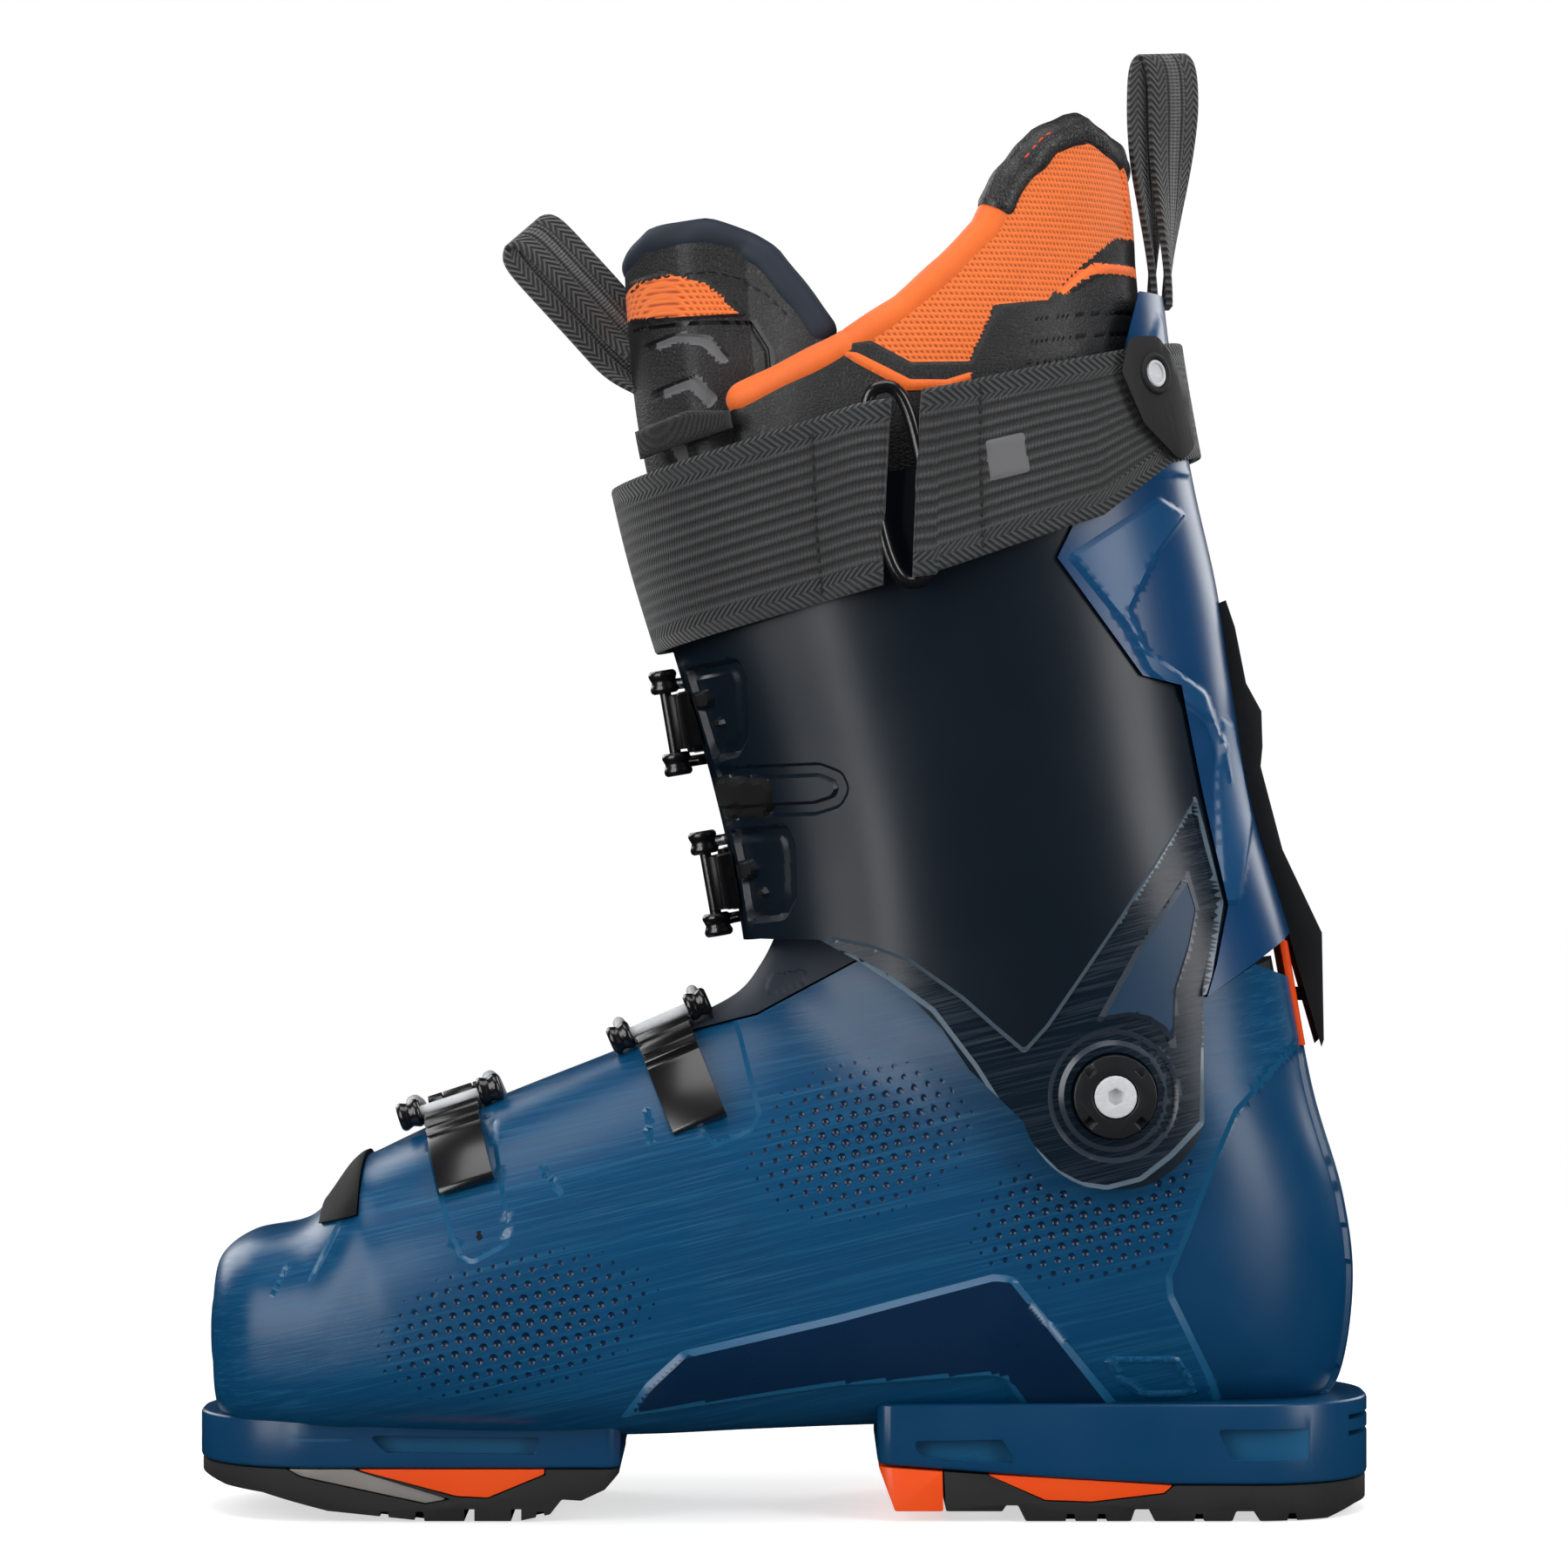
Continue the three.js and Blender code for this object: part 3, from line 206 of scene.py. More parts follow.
def webbing(name, dark, lit, edge_width=6.0, rib=2.6, stripe=None):
    """Strap webbing: ribs along the middle and a herringbone along both edges."""
    m = Mat(name, dark, 0.75, sheen=0.25)
    # side: distance to the nearer edge
    along, across, side = m.attr("along"), m.attr("across"), m.attr("side")
    edge = m.ramp(side, edge_width - 0.4, edge_width + 0.4, 1.0, 0.0)
    ribs = m.wave(across, rib)
    picks = m.wave(along, 0.9, 1.0)
    turn = m.math("PINGPONG", across, edge_width / 2)
    bone = m.wave(m.math("ADD", along, m.math("MULTIPLY", turn, 1.3)), 1.9)
    n = m.t.nodes.new("ShaderNodeMix")
    m.link(n.inputs[0], edge)
    m.link(n.inputs[2], m.math("MULTIPLY_ADD", picks, 0.3, m.math("MULTIPLY", ribs, 0.7)))
    m.link(n.inputs[3], bone)
    weave = n.outputs[0]
    m.tint(m.math("MULTIPLY", m.ramp(weave, 0.35, 0.95), 0.85), lit)
    if stripe:
        m.tint(m.math("MULTIPLY", m.ramp(side, 5.9, 6.3), m.ramp(picks, 0.2, 0.9, 0.25, 0.8)), stripe)
    m.tint(m.math("MULTIPLY", m.ramp(m.noise((60, 60, 60), detail=3), 0.4, 0.7), 0.25), dark)
    m.bump(weave, 0.45).bump(m.noise((2600,) * 3, detail=2), 0.12)
    return m.done()


def mesh_cloth(name, color, shade, pitch=1.5):
    """An open spacer mesh: rows of small holes, staggered."""
    m = Mat(name, color, 0.8, sheen=0.15)
    x = m.vector((1000, 1000, 1000))
    s = m.t.nodes.new("ShaderNodeSeparateXYZ")
    m.t.links.new(x, s.inputs[0])
    a = m.math("ADD", s.outputs[0], s.outputs[1])
    z = s.outputs[2]
    lean = m.math("MULTIPLY_ADD", z, 0.5, a)
    holes = m.math("MULTIPLY", m.wave(lean, pitch), m.wave(z, pitch))
    # the holes are tinted darker: painted shade inside them
    m.tint(m.ramp(holes, 0.35, 0.8, 0.0, 0.75), shade)
    m.tint(m.math("MULTIPLY", m.noise((50, 50, 50), detail=3), 0.25), [c * 0.7 for c in color])
    m.bump(holes, -0.35).bump(m.noise((3000,) * 3), 0.06)
    return m.done()


def knit(name, color, rough=0.85, pitch=0.9, relief=0.12, lit=None, sheen=0.2):
    m = Mat(name, color, rough, sheen=sheen)
    x = m.t.nodes.new("ShaderNodeSeparateXYZ")
    m.t.links.new(m.vector((1000, 1000, 1000)), x.inputs[0])
    a = m.wave(m.math("ADD", x.outputs[0], x.outputs[1]), pitch)
    b = m.wave(m.math("MULTIPLY_ADD", a, 0.35, x.outputs[2]), pitch * 0.8)
    weave = m.math("MULTIPLY", a, b)
    m.tint(m.math("MULTIPLY", weave, 0.5), lit or [min(1, c * 1.5 + 0.01) for c in color])
    m.tint(m.math("MULTIPLY", m.ramp(m.noise((40, 40, 40), detail=3), 0.4, 0.7), 0.2),
           [c * 0.5 for c in color])
    m.bump(weave, relief).bump(m.noise((900,) * 3, detail=3), relief * 0.5)
    return m.done()


def leather(name, color, rough=0.42):
    m = Mat(name, color, rough, coat=0.1)
    v = m.t.nodes.new("ShaderNodeTexVoronoi")
    v.feature = "DISTANCE_TO_EDGE"
    m.t.links.new(m.vector((900, 900, 900)), v.inputs["Vector"])
    v.inputs["Scale"].default_value = 1.0
    cells = m.ramp(v.outputs["Distance"], 0.0, 0.18)
    m.bump(cells, 0.09).bump(m.noise((120,) * 3, detail=3), 0.3)
    m.tint(m.ramp(m.noise((45,) * 3, detail=4), 0.4, 0.75, 0.0, 0.35),
           [min(1, c * 2.4 + 0.012) for c in color])
    m.gloss(cells, rough + 0.12)
    return m.done()


BLUE, BLUE_LIT = (0.001, 0.054, 0.142), (0.012, 0.15, 0.29)
M = {
    "shell": brushed("shell_brushed_blue", BLUE, BLUE_LIT, 0.29, 0.5, across=3400),
    "shell_smooth": plain("shell_satin_blue", (0.001, 0.045, 0.122), 0.28, coat=0.1),
    # darker navy for the recessed panel; on the dimples it is painted shade in the hollows
    "shell_dark_and_dimple_shade": plain("shell_navy_and_dimple_shade", (0.001, 0.018, 0.056), 0.27, coat=0.1),
    # lighter blue on step bevels, ribs, pocket and slot walls: a painted highlight along the edges
    "shell_edge_highlight": plain("shell_bevel_painted_highlight", (0.006, 0.085, 0.19), 0.26, coat=0.3),
    "inside": plain("shell_inside", (0.006, 0.04, 0.09), 0.55),
    "navy": plain("cuff_navy_satin", (0.004, 0.0095, 0.0175), 0.3, coat=0.0, grain=0.01, scale=2200,
                  mottled=0.03, scuff=0.03),
    # lighter navy on the cuff's cut rims, hole walls and step bevels: a painted highlight along the edges
    "navy_edge_highlight": plain("cuff_rim_painted_highlight", (0.03, 0.042, 0.06), 0.26, coat=0.4),
    "band": brushed("cuff_brushed_steel_navy", (0.004, 0.011, 0.021), (0.06, 0.085, 0.11), 0.26, 0.5,
                    relief=0.03, across=3000),
    # light grey-blue on the band's bevels: a painted highlight along its edges
    "band_edge_highlight": plain("cuff_band_painted_highlight", (0.1, 0.14, 0.18), 0.22, coat=0.5),
    "window": plain("cuff_window_blue_grey", (0.008, 0.036, 0.082), 0.4),
    "spine": plain("spine_blue_satin", (0.0005, 0.04, 0.125), 0.28, coat=0.15),
    # lighter blue on the spine's recessed facets and their bevels: a painted sheen on the facets
    "spine_facet_sheen": plain("spine_facet_painted_sheen", (0.002, 0.055, 0.155), 0.3, coat=0.2),
    "insert": plain("instep_soft_navy", (0.013, 0.02, 0.036), 0.62, grain=0.05, scale=700, scuff=0.1),
    "rubber": plain("sole_rubber_black", (0.011, 0.011, 0.012), 0.62, grain=0.06, scale=600, mottled=0.25,
                    scuff=0.15),
    "seal": plain("toe_seal_rubber", (0.005, 0.005, 0.006), 0.6, spec=0.12, grain=0.03, scale=900),
    "orange": plain("orange_moulding", (0.95, 0.075, 0.001), 0.42, coat=0.1, grain=0.02, scale=900,
                    mottled=0.1),
    "glide": plain("glide_plate_grey", (0.2, 0.19, 0.18), 0.35, grain=0.02, mottled=0.15),
    "black": plain("black_moulding", (0.008, 0.008, 0.009), 0.36, coat=0.1, grain=0.02, scale=1500),
    "gloss": plain("black_anodised", (0.006, 0.006, 0.007), 0.2, coat=0.6, grain=0.006, mottled=0.05),
    "bush": plain("pivot_black_plastic", (0.012, 0.013, 0.015), 0.34, coat=0.15, grain=0.02),
    "steel": brushed("steel_wire", (0.6, 0.61, 0.63), (0.8, 0.8, 0.82), 0.2, 0.5, relief=0.004, along=900,
                     across=2500),
    "board": plain("board_grey", (0.045, 0.047, 0.052), 0.7),
    # near-black in the small holes and slots drawn as shallow recesses: painted shade inside them
    "hole": plain("hole_painted_shade", (0.002, 0.002, 0.002), 0.8),
    "web": webbing("strap_webbing", (0.009, 0.009, 0.01), (0.062, 0.066, 0.07)),
    "loop": webbing("loop_webbing", (0.012, 0.012, 0.013), (0.11, 0.11, 0.115), edge_width=4.4, rib=1.4,
                    stripe=(0.16, 0.16, 0.165)),
    "mesh": mesh_cloth("orange_mesh", (1.0, 0.2, 0.03), (0.42, 0.045, 0.004)),
    "pipe": knit("orange_piping", (0.95, 0.15, 0.003), 0.6, pitch=0.7, relief=0.05, lit=(1.0, 0.2, 0.01)),
    "lining": knit("lining_black_knit", (0.012, 0.012, 0.013), 0.85, pitch=1.2),
    "panel": leather("liner_panel_black", (0.009, 0.009, 0.01), 0.5),
    "collar": leather("collar_black_leather", (0.012, 0.012, 0.013), 0.36),
    "velcro": knit("velcro_black", (0.008, 0.008, 0.009), 0.95, pitch=0.5, relief=0.3),
    "patch": plain("patch_grey", (0.13, 0.13, 0.135), 0.6, grain=0.05, scale=900),
    "thread": plain("red_thread", (0.7, 0.06, 0.02), 0.7, grain=0.05),
    "thread_black": plain("black_thread", (0.015, 0.015, 0.016), 0.7, grain=0.05),
    "insole": knit("insole_cloth", (0.05, 0.05, 0.055), 0.9),
}


# ---------------------------------------------------------------- sections, as in the CAD
def track(rows, t):
    p = np.vstack([2 * rows[0] - rows[1], rows, 2 * rows[-1] - rows[-2]])
    x = np.clip(t, 0, 1) * (len(rows) - 1)
    i = np.minimum(x.astype(int), len(rows) - 2)
    u = (x - i)[:, None]
    a, b, c, d = p[i], p[i + 1], p[i + 2], p[i + 3]
    v, w = (c - a) / 2, (d - b) / 2
    return (2 * b - 2 * c + v + w) * u**3 + (-3 * b + 3 * c - 2 * v - w) * u**2 + v * u + b


def section(rows, t, turn, off):
    """Points at places t along the rows and directions turn round them: 0 is lateral, a quarter turn the
    inner end."""
    r = track(np.asarray(rows, float), np.atleast_1d(np.asarray(t, float)))
    ox, oz, ix, iz, med, lat, wide, po, pi = (r[:, k, None] for k in range(9))
    c, s = np.cos(turn), np.sin(turn)
    power = np.where(s >= 0, pi, po)
    rho = (np.abs(c) ** power + np.abs(s) ** power) ** (1 / power)
    length = np.hypot(ix - ox, iz - oz)
    half = np.where(c >= 0, lat, med) + off
    middle = length * wide
    reach = np.where(s >= 0, length - middle, middle) + off
    y, h = half * c / rho, middle + reach * s / rho
    dx, dz = (ix - ox) / length, (iz - oz) / length
    return np.stack([ox + dx * h, y, oz + dz * h], -1)


def even(rows, t, n, off):
    """The same with n points at equal steps round each section, from the outer end by the medial side."""
    turn = np.linspace(-0.5 * math.pi, -2.5 * math.pi, 1201)
    dense = section(rows, t, turn[None, :] + 0 * np.atleast_1d(t)[:, None], off)
    out = np.empty((len(dense), n, 3))
    for k, ring in enumerate(dense):
        way = np.concatenate([[0], np.cumsum(np.linalg.norm(np.diff(ring, axis=0), axis=1))])
        at = np.linspace(0, way[-1], n, endpoint=False)
        for j in range(3):
            out[k, :, j] = np.interp(at, way, ring[:, j])
    return out


def normals(grid, wrap=True):
    if wrap:
        du = np.roll(grid, -1, 1) - np.roll(grid, 1, 1)
    else:
        du = np.gradient(grid, axis=1)
    dv = np.gradient(grid, axis=0)
    n = np.cross(du, dv)
    n /= np.maximum(np.linalg.norm(n, axis=-1, keepdims=True), 1e-9)
    return n


SHELL = [
    [-148, 33, -148, 58, 13, 10, 0.5, 2.4, 2.4], [-146.5, 25, -147, 66, 27, 24, 0.46, 2.8, 2.5],
    [-137, 22, -139, 72, 38, 35, 0.44, 3.2, 2.6], [-118, 21, -123.5, 76, 44.5, 43.5, 0.43, 3.4, 2.5],
    [-104, 20.8, -112.5, 89.5, 47.3, 47.5, 0.42, 3.4, 2.5], [-88, 20.5, -106, 93, 49, 50.5, 0.42, 3.4, 2.4],
    [-62, 20, -88, 101.5, 50, 53, 0.42, 3.4, 2.3], [-34, 20, -66, 110.5, 49, 53, 0.42, 3.2, 2.2],
    [-5, 21, -42, 120, 46, 50, 0.42, 3, 2.1], [30, 22, -24, 128, 43, 46, 0.42, 2.9, 2],
    [70, 22, -12, 134.5, 41, 43.5, 0.42, 2.8, 2], [110, 23, -6, 142, 41, 43, 0.42, 2.6, 2],
    [134, 25.5, -2, 150, 41.5, 43.5, 0.44, 2.5, 2.1], [145, 33, 1, 158, 42, 44, 0.46, 2.3, 2.1],
    [149.2, 58, 3, 166, 42.5, 44.5, 0.48, 2.2, 2.2], [146.5, 82, 4, 173, 43, 45, 0.5, 2.2, 2.2],
    [138.5, 110, 4, 180, 43, 45, 0.5, 2.2, 2.2], [131.5, 148, 1, 192, 43, 45, 0.5, 2.2, 2.2],
]
CUFF = [
    [150, 92, -28, 76, 49.5, 51.5, 0.5, 2.3, 2.4], [140, 120, -20, 102, 49.5, 51.5, 0.5, 2.3, 2.4],
    [131.5, 150, -10, 130, 50, 52, 0.5, 2.3, 2.4], [121.5, 183, -12.5, 160, 50, 52, 0.5, 2.3, 2.3],
    [116, 215, -19, 190, 50, 52, 0.5, 2.3, 2.3], [112, 241, -28, 220, 50.5, 52.5, 0.5, 2.3, 2.3],
    [106, 268, -37, 250, 51, 53, 0.5, 2.3, 2.3], [100, 302, -44, 282, 51, 53, 0.5, 2.3, 2.3],
    [97, 330, -48, 310, 50, 52, 0.5, 2.3, 2.3],
]
LINER = [
    [126, 150, -4.6, 131, 44.5, 46.5, 0.5, 2.3, 2.3], [116, 183, -7, 160.5, 44.5, 46.5, 0.5, 2.3, 2.3],
    [110.5, 215, -13.5, 191, 44.5, 46.5, 0.5, 2.3, 2.3], [106.5, 241, -22.5, 221, 45, 47, 0.5, 2.3, 2.3],
    [100.5, 268, -31.5, 251, 45.5, 47.5, 0.5, 2.3, 2.3], [94.5, 302, -38.5, 282, 45.5, 47.5, 0.5, 2.3, 2.3],
    [91.5, 332, -41.5, 312, 44, 46, 0.5, 2.3, 2.3], [88, 366, -43, 346, 42, 44, 0.5, 2.3, 2.3],
]


# ---------------------------------------------------------------- mesh helpers
def make(name, verts, faces, mats, index=None):
    me = bpy.data.meshes.new(name)
    me.from_pydata(to_metres(verts).tolist(), [], [list(map(int, f)) for f in faces])
    for m in mats:
        me.materials.append(M[m])
    if index is not None:
        me.polygons.foreach_set("material_index", np.asarray(index, np.int32))
    o = bpy.data.objects.new(name, me)
    bpy.context.scene.collection.objects.link(o)
    bm = bmesh.new()
    bm.from_mesh(me)
    bmesh.ops.recalc_face_normals(bm, faces=bm.faces)
    bm.to_mesh(me)
    bm.free()
    return o


def bake(o):
    bpy.context.view_layer.update()
    dg = bpy.context.evaluated_depsgraph_get()
    me = bpy.data.meshes.new_from_object(o.evaluated_get(dg), preserve_all_data_layers=True, depsgraph=dg)
    o.modifiers.clear()
    old, o.data = o.data, me
    me.name = o.name
    bpy.data.meshes.remove(old)
    return o


def cut(o, tool, op="DIFFERENCE"):
    """Cuts a closed solid with another, which is used up."""
    m = o.modifiers.new("b", "BOOLEAN")
    m.operation, m.object, m.solver = op, tool, "MANIFOLD"
    bake(o)
    me = tool.data
    bpy.data.objects.remove(tool)
    bpy.data.meshes.remove(me)
    return o


def smooth(o, angle=32):
    me = o.data
    me.shade_smooth()
    me.set_sharp_from_angle(angle=math.radians(angle))
    return o


def finish_piece(o, body, replaces=(), angle=32):
    if o.type == "MESH":
        smooth(o, angle)
    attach(o, body)
    if replaces:
        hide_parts(*replaces)
    return o


def bevel(o, width, segments=2, angle=35):
    m = o.modifiers.new("e", "BEVEL")
    m.width, m.segments, m.limit_method, m.angle_limit = width / 1000, segments, "ANGLE", math.radians(angle)
    m.use_clamp_overlap, m.harden_normals = True, False
    return bake(o)


def clean(o, angle=1.0):
    """Joins the flat faces that cuts have split."""
    bm = bmesh.new()
    bm.from_mesh(o.data)
    bmesh.ops.remove_doubles(bm, verts=bm.verts, dist=2e-6)
    bmesh.ops.dissolve_degenerate(bm, dist=2e-6, edges=bm.edges)
    bmesh.ops.dissolve_limit(bm, angle_limit=math.radians(angle), verts=bm.verts, edges=bm.edges,
                             delimit={"MATERIAL"})
    bm.to_mesh(o.data)
    bm.free()
    return o


def refine(node, name, mat, body, width=0.5, segments=2, angle=33, shade=40):
    """A CAD node's own shape with rounded edges."""
    o = bpy.data.objects.new(name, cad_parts[node].data.copy())
    bpy.context.scene.collection.objects.link(o)
    o.data.materials.clear()
    o.data.materials.append(M[mat])
    o.data.polygons.foreach_set("material_index", np.zeros(len(o.data.polygons), np.int32))
    clean(o, 2.0)
    if width:
        bevel(o, width, segments, angle)
    return finish_piece(o, body, [node], shade)


def prism(points, a, b, axis, index=0):
    """An outline made solid: along y from a side view, or along z from a plan."""
    p = np.asarray(points, float)
    n = len(p)
    if axis == "y":
        ends = [np.stack([p[:, 0], np.full(n, v), p[:, 1]], 1) for v in (a, b)]
    else:
        ends = [np.stack([p[:, 0], p[:, 1], np.full(n, v)], 1) for v in (a, b)]
    verts = np.vstack(ends)
    faces = [list(range(n))[::-1], [n + k for k in range(n)]]
    faces += [[k, (k + 1) % n, n + (k + 1) % n, n + k] for k in range(n)]
    return verts, faces, [index] * len(faces)


def solid(name, parts, mats=("hole",)):
    verts, faces, index, base = [], [], [], 0
    for v, f, i in parts:
        verts.append(v)
        faces += [[base + k for k in face] for face in f]
        index += list(i)
        base += len(v)
    return make(name, np.vstack(verts), faces, mats, index)


def slab(points, a=-90, b=90, index=0, name="slab"):
    return solid(name, [prism(points, a, b, "y", index)], ["hole"] * (index + 1))


def round_line(points, radius, steps=4):
    """An outline with its corners rounded."""
    p = np.asarray(points, float)
    out = []
    for k in range(len(p)):
        a, b, c = p[k - 1], p[k], p[(k + 1) % len(p)]
        u, w = (a - b), (c - b)
        lu, lw = np.linalg.norm(u), np.linalg.norm(w)
        cosine = np.clip(u @ w / (lu * lw), -1, 1)
        turn = math.pi - math.acos(cosine)
        if turn < 0.12:
            out.append(b)
            continue
        back = min(radius * math.tan(turn / 2), 0.45 * lu, 0.45 * lw)
        s, e = b + u / lu * back, b + w / lw * back
        for q in np.linspace(0, 1, steps + 1):
            out.append((1 - q) ** 2 * s + 2 * q * (1 - q) * b + q * q * e)
    return np.array(out)


def grow(points, by):
    p = np.asarray(points, float)
    turn = np.sign(np.sum(p[:, 0] * np.roll(p[:, 1], -1) - np.roll(p[:, 0], -1) * p[:, 1]))
    e = np.roll(p, -1, 0) - p
    e /= np.maximum(np.linalg.norm(e, axis=1, keepdims=True), 1e-9)
    out = np.stack([e[:, 1], -e[:, 0]], 1) * turn
    before = np.roll(out, 1, 0)
    return p + (out + before) * (by / np.maximum(0.3, 1 + (out * before).sum(1)))[:, None]


def signed(points, outline):
    """Distance from an outline, negative inside, and the nearest point on it."""
    a = np.asarray(outline, float)
    b = np.roll(a, -1, 0)
    best = np.full(len(points), 1e9)
    near = np.zeros((len(points), 2))
    inside = np.zeros(len(points), bool)
    for p, q in zip(a, b):
        d = q - p
        s = np.clip(((points - p) @ d) / max(d @ d, 1e-12), 0, 1)
        c = p + s[:, None] * d
        r = np.linalg.norm(points - c, axis=1)
        m = r < best
        best[m], near[m] = r[m], c[m]
        crosses = (p[1] > points[:, 1]) != (q[1] > points[:, 1])
        if crosses.any():
            xs = p[0] + (points[:, 1] - p[1]) * (q[0] - p[0]) / (q[1] - p[1] + 1e-12)
            inside ^= crosses & (points[:, 0] < xs)
    return np.where(inside, -best, best), near


def on_side(points, sides):
    """Which points lie on the named side of the boot: medial, lateral or both."""
    if sides == "both":
        return np.ones(len(points), bool)
    return points[:, 1] < 0 if sides == "medial" else points[:, 1] > 0


class Relief:
    """Steps, ridges and pockets drawn in side view on a lofted surface. Grid points next to a step's two
    lines are moved onto them, so that the edges stay crisp."""

    def __init__(self, spacing):
        self.features, self.spacing = [], spacing

    def step(self, outline, raise_by, width=1.2, sides="both", mat=None, edge=None):
        self.features.append((np.asarray(outline, float), raise_by, width, sides, mat, edge))

    def apply(self, grid, wrap=True):
        """The grid with its relief, its directions out before that, and how far each point was raised."""
        n = normals(grid, wrap)
        p, nn = grid.reshape(-1, 3).copy(), n.reshape(-1, 3)
        lift = np.zeros(len(p))
        fixed = np.zeros(len(p), bool)
        for outline, by, width, sides, *_ in self.features:
            ok = (np.abs(nn[:, 1]) > 0.3) & on_side(p, sides)
            lo, hi = outline.min(0) - 3, outline.max(0) + 3
            ok &= ((p[:, [0, 2]] > lo) & (p[:, [0, 2]] < hi)).all(1)
            rows = np.nonzero(ok)[0]
            for target in (0.0, -width):
                q = p[rows][:, [0, 2]]
                sd, near = signed(q, outline)
                # points crowd together in side view where the surface turns away
                turned = np.clip(np.abs(nn[rows, 1]), 0.3, 1)
                hit = (np.abs(sd - target) < 0.5 * self.spacing * turned) & ~fixed[rows]
                away = q - near
                length = np.maximum(np.linalg.norm(away, axis=1), 1e-9)
                # on the outline itself, or a bevel's width inside it
                goal = near if target == 0.0 else near + away / length[:, None] * width
                move = (goal - q) * hit[:, None]
                m = np.linalg.norm(move, axis=1)
                move[m > self.spacing] = 0
                r = rows[hit]
                d = move[hit]
                p[r, 0] += d[:, 0]
                p[r, 2] += d[:, 1]
                p[r, 1] -= (nn[r, 0] * d[:, 0] + nn[r, 2] * d[:, 1]) / nn[r, 1]
                fixed[r] = True
            sd, _ = signed(p[rows][:, [0, 2]], outline)
            lift[rows] += by * np.clip(-sd / width, 0, 1)
        moved = p + nn * lift[:, None]
        return moved.reshape(grid.shape), n, lift.reshape(grid.shape[:2])

    def index(self, centres, facing):
        """The material of each face: a step's own inside it, its edge's on the bevel."""
        out = np.zeros(len(centres), np.int32)
        q = centres[:, [0, 2]]
        for outline, _, width, sides, mat, edge in self.features:
            if mat is None and edge is None:
                continue
            ok = (np.abs(facing) > 0.2) & on_side(centres, sides)
            rows = np.nonzero(ok)[0]
            sd, _ = signed(q[rows], outline)
            if mat is not None:
                out[rows[sd < -width]] = mat
            if edge is not None:
                out[rows[(sd < 0) & (sd >= -width)]] = edge
        return out


def skin(name, grid, mats, relief=None, cap=(0.0, 0.0)):
    """A closed solid from rings of points, with domed ends."""
    lift = np.zeros(grid.shape[:2])
    if relief:
        grid, _, lift = relief.apply(grid)
    rings, lifts = list(grid), list(lift)
    for end, by in ((0, cap[0]), (-1, cap[1])):
        ring = rings[end]
        centre = ring.mean(0)
        inner = rings[1] if end == 0 else rings[-2]
        away = centre - inner.mean(0)
        away /= np.linalg.norm(away)
        steps = (0.3, 0.6, 0.85, 1.1, 1.35) if by else (0.9,)
        for a in steps:
            new = centre + (ring - centre) * math.cos(a) + away * by * math.sin(a)
            if end == 0:
                rings.insert(0, new)
                lifts.insert(0, lifts[0])
            else:
                rings.append(new)
                lifts.append(lifts[-1])
    g, lift = np.array(rings), np.array(lifts)
    nv, nu = g.shape[:2]
    verts = np.vstack([g.reshape(-1, 3), g[0].mean(0), g[-1].mean(0)])
    k, j = np.meshgrid(np.arange(nv - 1), np.arange(nu), indexing="ij")
    a, b = k * nu + j, k * nu + (j + 1) % nu
    c, d = (k + 1) * nu + (j + 1) % nu, (k + 1) * nu + j
    flat = lift.ravel()
    cross = np.abs(flat[a] - flat[c]) <= np.abs(flat[b] - flat[d])
    bent = (np.abs(flat[a] - flat[c]) + np.abs(flat[b] - flat[d])) > 1e-6
    quads = np.stack([a, b, c, d], -1)[~bent]
    first = bent & cross
    second = bent & ~cross
    tris = np.concatenate([
        np.stack([a, b, c], -1)[first], np.stack([a, c, d], -1)[first],
        np.stack([a, b, d], -1)[second], np.stack([b, c, d], -1)[second],
    ])
    jj = np.arange(nu)
    ends = np.concatenate([
        np.stack([np.full(nu, nv * nu), (jj + 1) % nu, jj], -1),
        np.stack([np.full(nu, nv * nu + 1), (nv - 1) * nu + jj, (nv - 1) * nu + (jj + 1) % nu], -1),
    ])
    faces = quads.tolist() + tris.tolist() + ends.tolist()
    index = None
    if relief:
        mids = np.concatenate([verts[quads].mean(1), verts[tris].mean(1), verts[ends].mean(1)])
        way = np.concatenate([
            np.cross(verts[f[:, 1]] - verts[f[:, 0]], verts[f[:, 2]] - verts[f[:, 0]])
            for f in (quads, tris, ends)
        ])
        way /= np.maximum(np.linalg.norm(way, axis=1, keepdims=True), 1e-12)
        index = relief.index(mids, way[:, 1])
    return make(name, verts, faces, mats, index)


def loft(rows, off, nu, nv, name="loft", mats=("hole",), relief=None, cap=(0.0, 0.0), span=(0.0, 1.0),
         index=None):
    o = skin(name, even(rows, np.linspace(*span, nv), nu, off), mats, relief, cap)
    if index is not None:
        o.data.polygons.foreach_set("material_index", np.full(len(o.data.polygons), index, np.int32))
    return o


# ---------------------------------------------------------------- outlines in side view
COLLAR = [(-48, 118.4), (-7, 129), (19, 143.4), (60, 150), (92, 138), (108, 134.4), (132.5, 149.4)]
CUFF_EDGE = [(-26, 146), (-6, 149), (9, 149.2), (19, 143.8), (31, 136), (40, 127), (47, 116.5)]
SPINE_EDGE = [
    (108, 134.9), (110.5, 143), (113.8, 158), (107.4, 186.5), (101.8, 214.3), (91.5, 216.7), (69.4, 246.5),
    (80, 268), (88, 303), (91.5, 316), (102, 316),
]
PANEL = [(-42, 27), (-35, 36.7), (-26, 44.9), (13.3, 53.5), (53.6, 64), (58.6, 63.4), (95.2, 18.1), (93, 8),
         (75.3, 8), (56.5, 35.8), (53.1, 36.9), (13.3, 34.5)]
